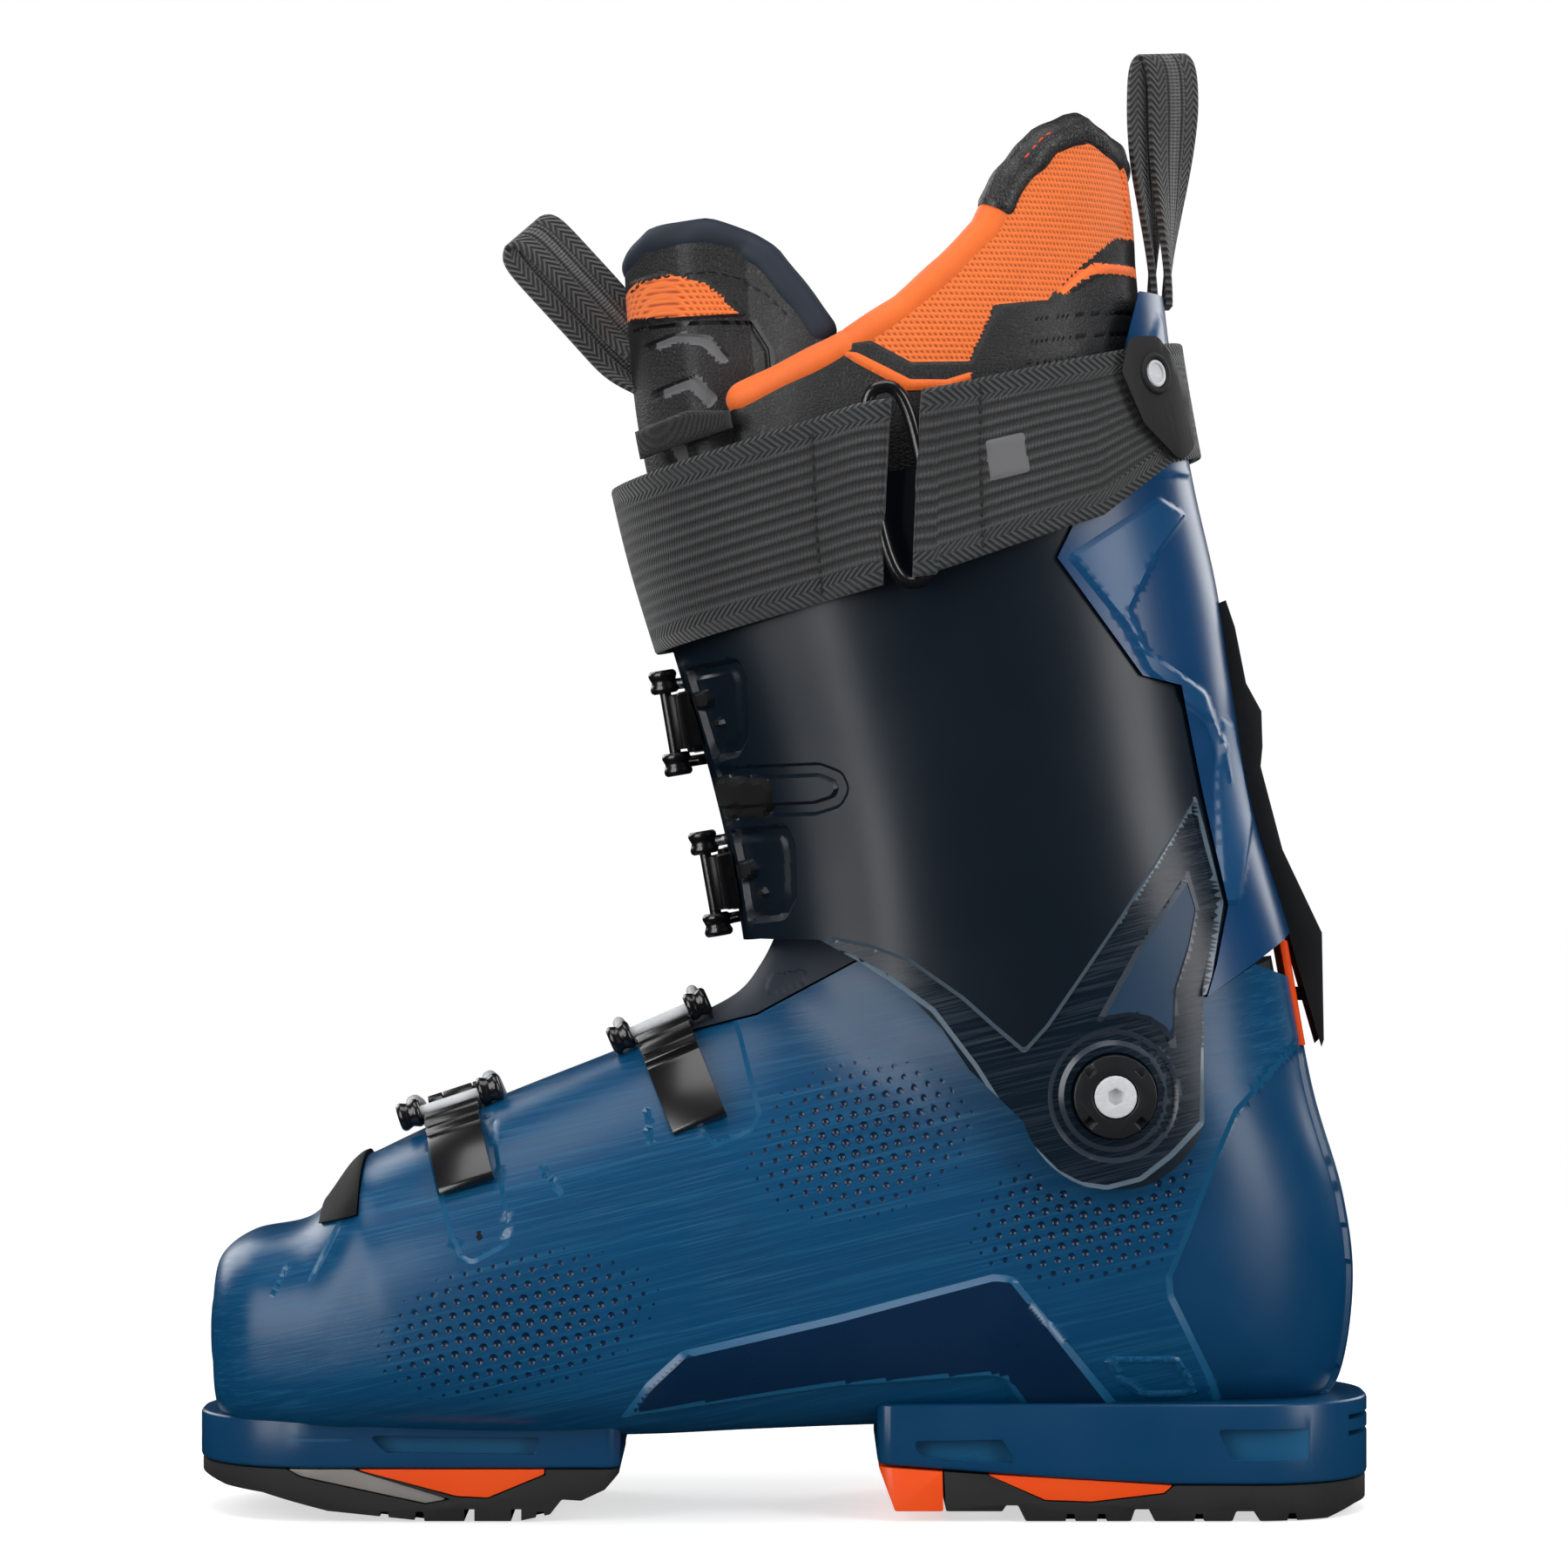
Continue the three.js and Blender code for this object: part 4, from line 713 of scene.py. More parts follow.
COUNTER = [(140, 127), (126.4, 117), (115.1, 105.8), (109.6, 93.8), (102.1, 74.1), (97.4, 63.2),
           (97.9, 57.9), (109.6, 34), (114, 20), (164, 20), (164, 122)]
TOE_PAD = [(-92.5, 96.5), (-85.2, 74.3), (-82.4, 68.5), (-79, 67), (-69.7, 71.9), (-69.9, 79.4),
           (-74.8, 102.7), (-78.6, 112), (-95.2, 107)]
INSTEP_PAD = [(-27, 121), (-21.5, 99.7), (-17.6, 96), (-8, 100), (-5.6, 104.5), (-11, 124.8), (-17.7, 141),
              (-32, 135)]
BAND = [
    (12.2, 150.2), (22.1, 148.2), (32.3, 144.5), (45.8, 135), (53.8, 127.9), (60.9, 121.9), (66.4, 127.9),
    (85.5, 155.6),
    (105.6, 185.9), (107.8, 177.7), (112.6, 158.7), (108.6, 136.5), (107.4, 102.7), (99, 94.2), (91, 88.2),
    (82.1, 86),
    (75, 87), (69.1, 90.1), (59.3, 99.8), (48.2, 117.2), (37.4, 131.2), (26.3, 139.2), (16.3, 144.6),
    (8, 147),
]
WINDOW = [(103.2, 166.2), (106, 157.1), (104, 147.6), (100.3, 136.5), (99.6, 120.5), (96.5, 126.3),
          (92.5, 129), (87.7, 129.9), (83, 129.2), (79.2, 128.4), (91, 149.1)]


def circle(x, z, r, n=40):
    a = np.linspace(0, 2 * math.pi, n, endpoint=False)
    return np.stack([x + r * np.cos(a), z + r * np.sin(a)], 1)


def ribs(relief, lines, width, raise_by, sides, mat=None):
    for (x0, z0), (x1, z1) in lines:
        d = np.array([x1 - x0, z1 - z0])
        d = d / np.linalg.norm(d)
        s = np.array([-d[1], d[0]]) * width / 2
        a, b = np.array([x0, z0]), np.array([x1, z1])
        relief.step(np.array([a - s, b - s, b + s, a + s]), raise_by, width * 0.42, sides, mat, mat)


# ---------------------------------------------------------------- lower shell
NU, NV = ((400, 330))
SHELL_MATS = ["shell", "shell_dark_and_dimple_shade", "shell_edge_highlight", "shell_smooth", "inside", "hole"]
r = Relief(1.15)
r.step(PANEL, -1.5, 1.6, "both", 1, 2)
r.step(COUNTER, 1.1, 1.8, "both", 3, 2)
r.step(TOE_PAD, 0.9, 1.3, "medial", None, 2)
r.step(INSTEP_PAD, 0.9, 1.3, "medial", None, 2)
r.step(circle(-77.5, 74, 0.95, 14), -1.2, 0.4, "medial", 5, 5)
ribs(r, [((-62.2, 92), (-56.4, 84.4)), ((-35.2, 106), (-34, 96.6))], 1.9, 0.9, "medial", 2)
for bar in ([(-121, 62), (-111, 82)], [(-131, 58), (-127, 66)]):
    ribs(r, [bar], 1.6, 0.5, "both", 2)
SIZE_FRAME = round_line([(81.5, 42.5), (101, 42.5), (104, 38), (106.5, 31.5), (92, 31), (85.5, 36)], 1.6, 3)
r.step(SIZE_FRAME, -0.55, 0.6, "both", None, 2)
r.step(grow(SIZE_FRAME, -1.3), 0.55, 0.6, "both", None, 2)
shell = loft(SHELL, 0, NU, NV, "shell_body", SHELL_MATS, r, (2.2, 0), (0.0, 0.985))


def arc(cx, cy, radius, a0, a1, n=16):
    a = np.radians(np.linspace(a0, a1, n + 1))
    return [(cx + radius * math.cos(x), cy + radius * math.sin(x)) for x in a]


def lug_plan(front, rear, nose, tail, inset=0.0):
    half = 34.5 - inset
    nose, tail = min(nose, half), min(tail, half)
    x0, x1 = front + inset, rear - inset
    return (arc(x1 - tail, -half + tail, tail, -90, 0) + arc(x1 - tail, half - tail, tail, 0, 90)
            + arc(x0 + nose, half - nose, nose, 90, 180) + arc(x0 + nose, -half + nose, nose, 180, 270))


def toe_plan(inset=0.0):
    return lug_plan(-152.5, -42, 32, 4, inset)


def heel_plan(inset=0.0):
    return lug_plan(24, 152.5, 4, 31, inset)


def plan(points, z0, z1, mats=("hole",), index=0, name="plan"):
    return solid(name, [prism(points, z0, z1, "z", index)], mats)


toe_lug = bevel(plan(toe_plan(), 13.5, 26, SHELL_MATS, 3), 1.1, 3)
heel_lug = cut(
    solid("heel_lug",
          [prism([(22, 14.7), (70, 11), (100, 9.4), (160, 9.2), (160, 30), (22, 30)], -60, 60, "y", 3)],
          SHELL_MATS),
    plan(heel_plan(), -5, 60, SHELL_MATS, 3), "INTERSECT",
)
bevel(clean(heel_lug), 1.1, 3)


def pocket(line, depth):
    parts = [prism(line, -60, -34.5 + depth, "y", 2), prism(line, 34.5 - depth, 60, "y", 2)]
    return solid("pocket", parts, SHELL_MATS)


for lug, lines in (
    (toe_lug, [([(-107, 22), (-102, 17.5), (-64, 17), (-62, 21.5)], 3)]),
    (heel_lug,
     [([(111, 23.5), (115, 15.5), (142, 15.5), (137, 23.5)], 3),
      ([(33, 20.5), (35, 16.5), (60, 14.5), (56, 21)], 3)]),
):
    for line, depth in lines:
        cut(lug, pocket(round_line(line, 1.2, 3), depth))
# grooves that run round the lugs, and slots at the heel
cut(toe_lug, pocket([(-140, 20.4), (-110, 20.4), (-110, 21.4), (-140, 21.4)], 0.7))
for z in (24.6, 20.4):
    cut(heel_lug, solid(
        "slot", [prism([(146, z), (156, z), (156, z + 1.3), (146, z + 1.3)], -34, 34, "y", 2)], SHELL_MATS))
cut(shell, toe_lug, "UNION")
cut(shell, heel_lug, "UNION")
inner = loft(SHELL, -WALL, 120, 110, "inner", SHELL_MATS, index=4)
cut(shell, inner)
cut(shell, slab(COLLAR + [(200, 149.4), (200, 400), (-48, 400)], index=4))


def pin(radius, a, b, x, z, n=48, axis="y", index=0, mats=("hole",), name="pin", y=0.0):
    c = np.linspace(0, 2 * math.pi, n, endpoint=False)
    if axis == "y":
        pts = np.stack([x + radius * np.cos(c), z + radius * np.sin(c)], 1)
        return solid(name, [prism(pts, a, b, "y", index)], mats)
    pts = np.stack([x + radius * np.cos(c), y + radius * np.sin(c)], 1)
    return solid(name, [prism(pts, a, b, "z", index)], mats)


cut(shell, slab([(-112, 74), (-47, 74), (-47, 140), (-112, 140)], 17, 18.4))
cut(shell, pin(8, -80, 80, *PIVOT))
SEAL = [(-119.8, 76), (-119.8, 84), (-112.6, 100), (-109.2, 100), (-109.2, 79)]
cut(shell, slab(grow(SEAL, GAP), -44, 44, 4))

# middle, half length and half height
DIMPLE_FIELDS = [(-68, 51.5, 37, 18), (19.4, 98, 30, 20), (80, 80, 34, 19)]
DIMPLE_PITCH, DIMPLE_BALL = (3.7, 3.2), 1.5
KEEP_OFF = [(BAND, 1.0), (PANEL, 0.0), (COUNTER, 0.0), (INSTEP_PAD, 0.0)]


def dimples():
    """Balls that cut the moulded dimples, in staggered rows that shrink towards the edges of each field."""
    grid = section(SHELL, np.linspace(0, 0.98, 400),
                   np.linspace(0, 2 * math.pi, 500, endpoint=False)[None, :], 0)
    n = normals(grid)
    p, n = grid.reshape(-1, 3), n.reshape(-1, 3)
    keep = np.abs(n[:, 1]) > 0.45
    p, n = p[keep], n[keep]
    bm = bmesh.new()
    spots = []
    for cx, cz, rx, rz in DIMPLE_FIELDS:
        for i in range(-16, 17):
            for j in range(-12, 13):
                u, v = (i + 0.5 * (j % 2)) * DIMPLE_PITCH[0], j * DIMPLE_PITCH[1]
                x = cx + u * math.cos(TILT) - v * math.sin(TILT)
                z = cz + u * math.sin(TILT) + v * math.cos(TILT)
                far = (u / rx) ** 2 + (v / rz) ** 2
                if far > 1:
                    continue
                q = np.array([[x, z]])
                room = min(signed(q, line)[0][0] - more for line, more in KEEP_OFF)
                if room < 2.2 or math.hypot(x - PIVOT[0], z - PIVOT[1]) < 25.2:
                    continue
                spots.append((x, z, 0.5 + 0.72 * (1 - far) ** 0.7))
    for sign in (-1, 1):
        side = np.sign(p[:, 1]) == sign
        ps, ns = p[side], n[side]
        for x, z, radius in spots:
            k = np.argmin((ps[:, 0] - x) ** 2 + (ps[:, 2] - z) ** 2)
            a, w = ps[k], ns[k]
            y = a[1] - (w[0] * (x - a[0]) + w[2] * (z - a[2])) / w[1]
            centre = np.array([x, y, z]) + w * math.sqrt(DIMPLE_BALL**2 - radius**2)
            made = bmesh.ops.create_icosphere(bm, subdivisions=2, radius=DIMPLE_BALL)
            for v in made["verts"]:
                v.co = Vector(np.array(v.co) + centre)
    for v in bm.verts:
        v.co = Vector(to_metres(np.array(v.co)))
    # the dimples' walls take the darker navy: painted shade in the hollows
    for f in bm.faces:
        f.material_index = 1
    me = bpy.data.meshes.new("dimples")
    bm.to_mesh(me)
    for m in SHELL_MATS:
        me.materials.append(M[m])
    o = bpy.data.objects.new("dimples", me)
    bpy.context.scene.collection.objects.link(o)
    return o


cut(shell, dimples())
cut(shell,
    solid("link_hole", [prism([(130, 130.3), (150, 130.3), (150, 137.7), (130, 137.7)], -3.8, 3.8, "y", 4)],
          SHELL_MATS))
shell.name = shell.data.name = "shell_body"
finish_piece(shell, "shell", ["lower_shell"], 28)

# the rubber strip across the toe
seal = loft(SHELL, 1.2, 240, 240, "toe_strip", ("seal",), span=(0.1, 0.45))
cut(seal, loft(SHELL, -1.5, 120, 110, "i", ("seal",)))
cut(seal, slab(SEAL, -43, 43), "INTERSECT")
bevel(clean(seal, 0.3), 0.5, 2, 40)
finish_piece(seal, "shell", ["toe_seal"], 35)

# ---------------------------------------------------------------- the soft panel over the instep
INSTEP = [(-47, 118.9), (-7, 129.6), (19, 144), (26, 146), (2, 166), (-30, 160), (-60, 124)]
r = Relief(1.0)
r.step(round_line([(-5.5, 133.5), (6.5, 137.2), (6, 141.3), (-3.5, 139.5)], 1.6, 3), -0.45, 0.5, "medial")
for k in range(3):
    ribs(r, [((-36 + 9 * k, 125.2 + 1.2 * k), (-42 + 9.4 * k, 131 + 2 * k))], 1.3, 0.5, "both")
insert = loft(SHELL, 0, 300, 260, "instep_panel", ("insert",), r, span=(0.25, 0.98))
cut(insert, loft(SHELL, -WALL, 120, 120, "i", ("insert",)))
cut(insert, slab(INSTEP), "INTERSECT")
finish_piece(insert, "shell", ["instep_insert"], 35)

# ---------------------------------------------------------------- cuff
CUFF_MATS = ["navy", "band", "navy_edge_highlight", "window", "inside", "hole", "band_edge_highlight"]
r = Relief(1.1)
r.step(BAND, 1.5, 1.1, "both", 1, 6)
r.step(WINDOW, -1.6, 1.2, "both", 3, 2)
BOSS = circle(*PIVOT, 17, 72)
r.step(BOSS, 0.9, 1.3, "both", 1, 2)
r.step(circle(*PIVOT, 14.2, 72), -0.9, 1.3, "both", 1, 2)
LOOP_OUT = round_line([(-20, 193.4), (9, 194.6), (15, 192.3), (17, 187.6), (14.6, 183), (8, 180.9),
                       (-20, 179.6)], 4, 5)
r.step(LOOP_OUT, 1.1, 0.9, "medial", 0, 0)
r.step(grow(LOOP_OUT, -2.9), -1.1, 0.9, "medial", 0, 0)
r.step(round_line([(-30, 190.3), (-5, 190.6), (-2.8, 188), (-3, 182.6), (-5.4, 180.4), (-30, 179.3)], 2, 3),
       -1.7, 0.8, "medial", 5, 5)
for house in (
    [(-34, 211), (-27, 219), (-11.8, 221.6), (-9.4, 216), (-8.9, 201), (-11.6, 195.8), (-30, 193)],
    [(-24, 169), (-16, 177), (0.6, 179.2), (3, 173.5), (3.4, 159.6), (0.5, 154), (-20, 151)],
):
    r.step(round_line(house, 2.4, 3), 2.1, 1.5, "medial", 0, 0)
    inner_face = round_line(grow(house, -3.2), 1.6, 3)
    r.step(inner_face, -0.5, 0.8, "medial", 0, 0)
for x, z in ((-21.6, 210.5), (-10.3, 166.6)):
    r.step(circle(x, z, 2.5, 24), -1.8, 0.5, "medial", 5, 5)
for x, z in ((-17.6, 204.4), (-6.2, 160.6)):
    r.step(circle(x, z, 1.3, 16), -1.2, 0.4, "medial", 5, 5)
cuff = loft(CUFF, 0, NU, int(NV * 0.8), "cuff_body", CUFF_MATS, r)
inner = loft(CUFF, -CUFF_WALL, 120, 90, "inner", CUFF_MATS, index=4)
cut(cuff, inner)
foot = arc(PIVOT[0], PIVOT[1], 24, 196, 344, 32)
outline = CUFF_EDGE + foot + [(107, 134.9), (132.8, 150.8), (150, 150.8), (150, 300), (88, 286), (40, 270),
                              (-70, 255)]
cut(cuff, slab(outline, index=2), "INTERSECT")
SPINE = SPINE_EDGE + [(170, 316), (170, 150.8), (132.8, 150.8)]
under = slab(grow(SPINE, GAP), index=4)
cut(under, loft(CUFF, -CUFF_WALL / 2, 120, 90, "u", CUFF_MATS, index=4))
cut(cuff, under)
cut(cuff, solid("slit", [prism([(-80, 100), (12, 100), (12, 300), (-80, 300)], 12, 13.6, "y", 2)], CUFF_MATS))


def flexed(tool, degrees):
    """A tool's mesh turned forward about the cuff's pivots."""
    a = math.radians(degrees)
    v = np.array([x.co for x in tool.data.vertices])
    c = to_metres([PIVOT[0], 0, PIVOT[1]])
    d = v - c
    w = np.stack([d[:, 0] * math.cos(a) + d[:, 2] * math.sin(a), d[:, 1],
                  -d[:, 0] * math.sin(a) + d[:, 2] * math.cos(a)], 1) + c
    tool.data.vertices.foreach_set("co", w.astype(np.float32).ravel())
    return tool


for k in range(3):
    cut(cuff, flexed(loft(SHELL, 0.7, 120, 110, "s", CUFF_MATS, index=4), 2 * k))
cut(cuff, pin(11.2, -90, 90, *PIVOT, index=2, mats=CUFF_MATS))
cuff.name = cuff.data.name = "cuff_body"
finish_piece(cuff, "cuff", ["cuff"], 28)

# ---------------------------------------------------------------- rear spine
r = Relief(1.2)
FACET = [(71.5, 246.8), (96.3, 263), (104.1, 258.8), (95.2, 246.6), (88.6, 233.3), (93, 223.3), (108.6, 213),
         (114, 199), (115.5, 186), (108.5, 204.5), (92.2, 217.3), (86.3, 228.9)]
r.step(FACET, -0.9, 1.5, "both", 1, 1)
r.step([(111, 158), (117, 158), (122, 180), (117, 206), (112, 206), (110.5, 190)], -0.7, 1.2, "both", 1, 1)
r.step([(92, 268), (106, 268), (106, 300), (97, 312), (93, 300)], -0.6, 1.3, "both", 1, 1)
spine = loft(CUFF, 1.2, int(NU * 0.8), int(NV * 0.8), "spine_body", ("spine", "spine_facet_sheen"), r,
             span=(0.05, 1.0))
cut(spine, loft(CUFF, GAP - CUFF_WALL / 2, 160, 120, "i", ("spine",)))
cut(spine, slab(SPINE), "INTERSECT")
for k in range(3):
    cut(spine, flexed(loft(SHELL, 0.7, 120, 110, "s"), 2 * k))
cut(spine,
    solid("link_hole", [prism([(110, 199.3), (140, 199.3), (140, 206.7), (110, 206.7)], -3.8, 3.8, "y")]))
spine.name = spine.data.name = "spine_body"
finish_piece(spine, "cuff", ["cuff_spine"], 28)

# the orange pad under the rear link
pad = loft(SHELL, 1.0, int(NU * 0.6), int(NV * 0.6), "rear_pad", ("orange",), span=(0.55, 1.0))
cut(pad, loft(SHELL, -0.6, 120, 110, "i", ("orange",)))
cut(pad,
    solid("region", [prism([(126, 148.6), (140, 148.6), (150, 121), (131, 121)], -12.6, 12.6, "y")],
          ("orange",)), "INTERSECT")
cut(pad,
    solid("region", [prism([(120, 150), (160, 150), (160, 110), (120, 110)], -9.9, 9.9, "y")], ("orange",)))
bevel(clean(pad, 0.4), 0.3, 2, 50)
finish_piece(pad, "shell", (), 35)


# ---------------------------------------------------------------- soles
def sole(name, line, outline, under, minus, mat, node, width=0.6, round_by=0.8):
    o = solid(name, [prism(round_line(line, round_by, 3), -60, 60, "y")], (mat,))
    cut(o, solid("p", [prism(outline, -5, 60, "z")], (mat,)), "INTERSECT")
    cut(o, solid("u", [prism(under, -60, 60, "y")], (mat,)), "INTERSECT")
    for tool in minus:
        cut(o, tool)
    bevel(clean(o, 1.5), width, 2, 38)
    return finish_piece(o, "shell", [node], 38)


TOE_SCREWS = [(-132, 14), (-132, -14), (-58, 22), (-58, -22)]
HEEL_SCREWS = [(50, 20), (50, -20), (133, 14), (133, -14)]
TOE_INSERT = [(-111, 13.5), (-61.5, 13.5), (-61.5, 12), (-76, 6), (-84, 6.4)]
TOE_GLIDE = [(-128, 13.5), (-112, 13.5), (-86, 5.6), (-92, 4.6), (-124, 11.5)]
WEDGE = [(51, 12.4), (70, 11), (100, 9.4), (97.5, 7.2), (79, 5), (67, 5.4)]
toe_under = [(-170, -2), (0, -2), (0, 13.15), (-170, 13.15)]
heel_under = [(0, -2), (170, -2), (170, 8.85), (100, 9.05), (70, 10.65), (0, 15.45)]


def pockets(places, ledge):
    return [pin(4.6, -10, ledge, x, 0, 28, "z", y=y) for x,
            y in places] + [pin(2.3, ledge - 1, 20, x, 0, 20, "z", y=y) for x, y in places]


def grooves(xs, depth, width=2.6):
    return [solid("g", [prism([(x, -1), (x + width, -1), (x + width, depth), (x, depth)], -60, 60, "y")])
            for x in xs]


def side_cuts(xs, depth, top, width=3.0):
    """Short treads cut into both long edges of a sole."""
    out = []
    for x in xs:
        shape = [(x, -1), (x + width, -1), (x + width * 0.8, top), (x + width * 0.2, top)]
        out.append(solid("s", [prism(shape, -60, -34.1 + depth, "y"), prism(shape, 34.1 - depth, 60, "y")]))
    return out


TOE_SOLE = [
    (-153, 13.5), (-153, 10.5), (-144, 8), (-134, 7), (-117, 2.6), (-92, 0), (-68, 0),
    (-60, 1.7), (-57, 5.5), (-52, 5.2), (-46, 8), (-41, 13.5),
]
sole("toe_tread", TOE_SOLE, toe_plan(0.4), toe_under,
     [slab(grow(TOE_INSERT, GAP)), slab(grow(TOE_GLIDE, GAP))] + grooves((-70, -82), 3)
     + side_cuts((-104, -95, -64), 5, 2.4)
     + pockets(TOE_SCREWS, 10), "rubber", "toe_sole")
sole("toe_insert", TOE_INSERT, toe_plan(0.8), toe_under, pockets(TOE_SCREWS, 10), "orange",
     "toe_sole_insert", 0.4, 0.5)
sole("toe_glide", TOE_GLIDE, toe_plan(0.8), toe_under, pockets(TOE_SCREWS, 10), "glide", "toe_glide_plate",
     0.4, 0.5)
HEEL_SOLE = [
    (41.5, 2.5), (56, 2.5), (57, 4), (60, 4), (62, 0), (89, 0), (90, 3), (94, 3), (95, 0), (115, 0),
    (116, 2.5), (121, 2.5), (122, 0), (140, 0), (148, 2.6), (160, 4), (160, 9.2), (100, 9.4), (70, 11),
    (41, 13.2),
]
sole("heel_tread", HEEL_SOLE, heel_plan(0.4), heel_under,
     [slab(grow(WEDGE, GAP))] + side_cuts((72, 80, 105, 129), 4, 1.8) + pockets(HEEL_SCREWS, 7), "rubber",
     "heel_sole", 0.5, 0.6)
sole("heel_block", [(24, 14.5), (40.6, 13.2), (40.9, 2.5), (28.5, 2.5)], heel_plan(0.4), heel_under,
     pockets(HEEL_SCREWS, 7),
     "orange", "heel_sole_block", 0.5, 0.6)
sole("heel_wedge", WEDGE, heel_plan(0.8), heel_under, pockets(HEEL_SCREWS, 7), "orange", "heel_sole_wedge",
     0.4, 0.5)
for k in range(1, 5):
    for end in ("toe", "heel"):
        refine(f"{end}_sole_screw_{k}", f"{end}_screw_{k}", "steel", "shell", 0.3)


# ---------------------------------------------------------------- tubes and thick sheets
def soften(points, radius, steps=7):
    """A path in space with its corners rounded."""
    p = [np.asarray(q, float) for q in points]
    out = [p[0]]
    for a, b, c in zip(p, p[1:], p[2:]):
        u, w = a - b, c - b
        lu, lw = np.linalg.norm(u), np.linalg.norm(w)
        back = min(radius, 0.45 * lu, 0.45 * lw)
        s, e = b + u / lu * back, b + w / lw * back
        out += [(1 - q) ** 2 * s + 2 * q * (1 - q) * b + q * q * e for q in np.linspace(0, 1, steps)]
    return np.array(out + [p[-1]])


def tube(name, path, radius, mats, n=20, closed=False, flat=1.0, index=0):
    p = np.asarray(path, float)
    m = len(p)
    if closed:
        t = np.roll(p, -1, 0) - np.roll(p, 1, 0)
    else:
        t = np.gradient(p, axis=0)
    t /= np.linalg.norm(t, axis=1, keepdims=True)
    radius = np.broadcast_to(np.asarray(radius, float), (m,))
    side = np.cross([0, 1, 0], t[0])
    if np.linalg.norm(side) < 0.2:
        side = np.cross([0, 0, 1], t[0])
    rings = []
    for k in range(m):
        side = side - t[k] * (side @ t[k])
        side /= np.linalg.norm(side)
        up = np.cross(t[k], side)
        a = np.linspace(0, 2 * math.pi, n, endpoint=False)
        rings.append(p[k] + radius[k] * (np.cos(a)[:, None] * side + flat * np.sin(a)[:, None] * up))
    verts = np.vstack(rings)
    faces = []
    for k in range(m if closed else m - 1):
        q = (k + 1) % m
        faces += [[k * n + j, k * n + (j + 1) % n, q * n + (j + 1) % n, q * n + j] for j in range(n)]
    if not closed:
        faces += [list(range(n)), [(m - 1) * n + j for j in range(n)][::-1]]
    return make(name, verts, faces, mats, [index] * len(faces))


def thick(name, mid, n, half, mats, index=None, attrs=None, lift=None):
    """A sheet with thickness: a grid of points, their directions out and half the thickness at each."""
    nv, nu = mid.shape[:2]
    out, back = mid + n * half[..., None], mid - n * half[..., None]
    verts = np.vstack([out.reshape(-1, 3), back.reshape(-1, 3)])
    k, j = np.meshgrid(np.arange(nv - 1), np.arange(nu - 1), indexing="ij")
    a = (k * nu + j).ravel()
    quads = np.stack([a, a + 1, a + nu + 1, a + nu], -1)
    size = nv * nu
    edge = list(range(nu)) + [r * nu + nu - 1 for r in range(1, nv)]
    edge += [(nv - 1) * nu + c for c in range(nu - 2, -1, -1)] + [r * nu for r in range(nv - 2, 0, -1)]
    rim = [[edge[i], edge[i - 1], edge[i - 1] + size, edge[i] + size] for i in range(len(edge))]
    front_faces = quads.tolist()
    if lift is not None:
        flat = lift.ravel()
        p, q = np.abs(flat[quads[:, 0]] - flat[quads[:, 2]]), np.abs(flat[quads[:, 1]] - flat[quads[:, 3]])
        bent, cross = (p + q) > 1e-6, p <= q
        one, two = quads[bent & cross], quads[bent & ~cross]
        front_faces = quads[~bent].tolist()
        for bent_ones, corners in ((one, [0, 1, 2]), (one, [0, 2, 3]), (two, [0, 1, 3]), (two, [1, 2, 3])):
            front_faces += bent_ones[:, corners].tolist()
    faces = front_faces + (quads[:, ::-1] + size).tolist() + rim
    mat = None
    if index is not None:
        mids = np.array([verts[f].mean(0) for f in front_faces])
        front = index(mids)
        mat = np.concatenate([front, index(verts[quads + size].mean(1), True), np.zeros(len(rim), int)])
    o = make(name, verts, faces, mats, mat)
    for key, values in (attrs or {}).items():
        at = o.data.attributes.new(key, "FLOAT", "POINT")
        at.data.foreach_set("value", np.concatenate([values.ravel()] * 2).astype(np.float32))
    return o


def heights(rows, off, turn, line, dense=260):
    """Where along the rows each direction's line meets a side-view line given from front to rear."""
    t = np.linspace(0, 1, dense)
    p = section(rows, t, np.asarray(turn)[None, :] + 0 * t[:, None], off)
    xs, zs = np.array(line, float).T
    above = p[..., 2] - np.interp(p[..., 0], xs, zs)
    out = np.empty(len(turn))
    for c in range(len(turn)):
        up = np.nonzero((above[:-1, c] < 0) & (above[1:, c] >= 0))[0]
        if len(up) == 0:
            out[c] = 1.0 if above[-1, c] < 0 else 0.0
            continue
        k = up[-1]
        out[c] = t[k] + (t[1] - t[0]) * above[k, c] / (above[k, c] - above[k + 1, c])
    return out


def outward(grid):
    """The directions out of an open grid that bends round the boot's middle."""
    nn = np.cross(np.gradient(grid, axis=1), np.gradient(grid, axis=0))
    nn /= np.linalg.norm(nn, axis=-1, keepdims=True)
    return -nn if ((grid - grid.mean((0, 1))) * nn)[..., :2].sum() < 0 else nn


def patch_of(rows, off, turns, low, high, n):
    """A grid on a loft between two side-view lines, and its directions out. off may differ over the grid."""
    tl = heights(rows, 0, turns, low) if low is not None else np.zeros(len(turns))
    th = heights(rows, 0, turns, high)
    v = np.linspace(0, 1, n)[:, None]
    t = tl[None, :] + (th - tl)[None, :] * v
    off = np.broadcast_to(off, t.shape)
    grid = np.empty((*t.shape, 3))
    for c, turn in enumerate(turns):
        grid[:, c] = section(rows, t[:, c], np.full((n, 1), turn), off[:, c, None])[:, 0]
    return grid, outward(grid)


def even_turns(rows, t, a, b, n):
    dense = np.linspace(a, b, 1500)
    p = section(rows, [t], dense[None, :], 0)[0]
    way = np.concatenate([[0], np.cumsum(np.linalg.norm(np.diff(p, axis=0), axis=1))])
    return np.interp(np.linspace(0, way[-1], n), way, dense)


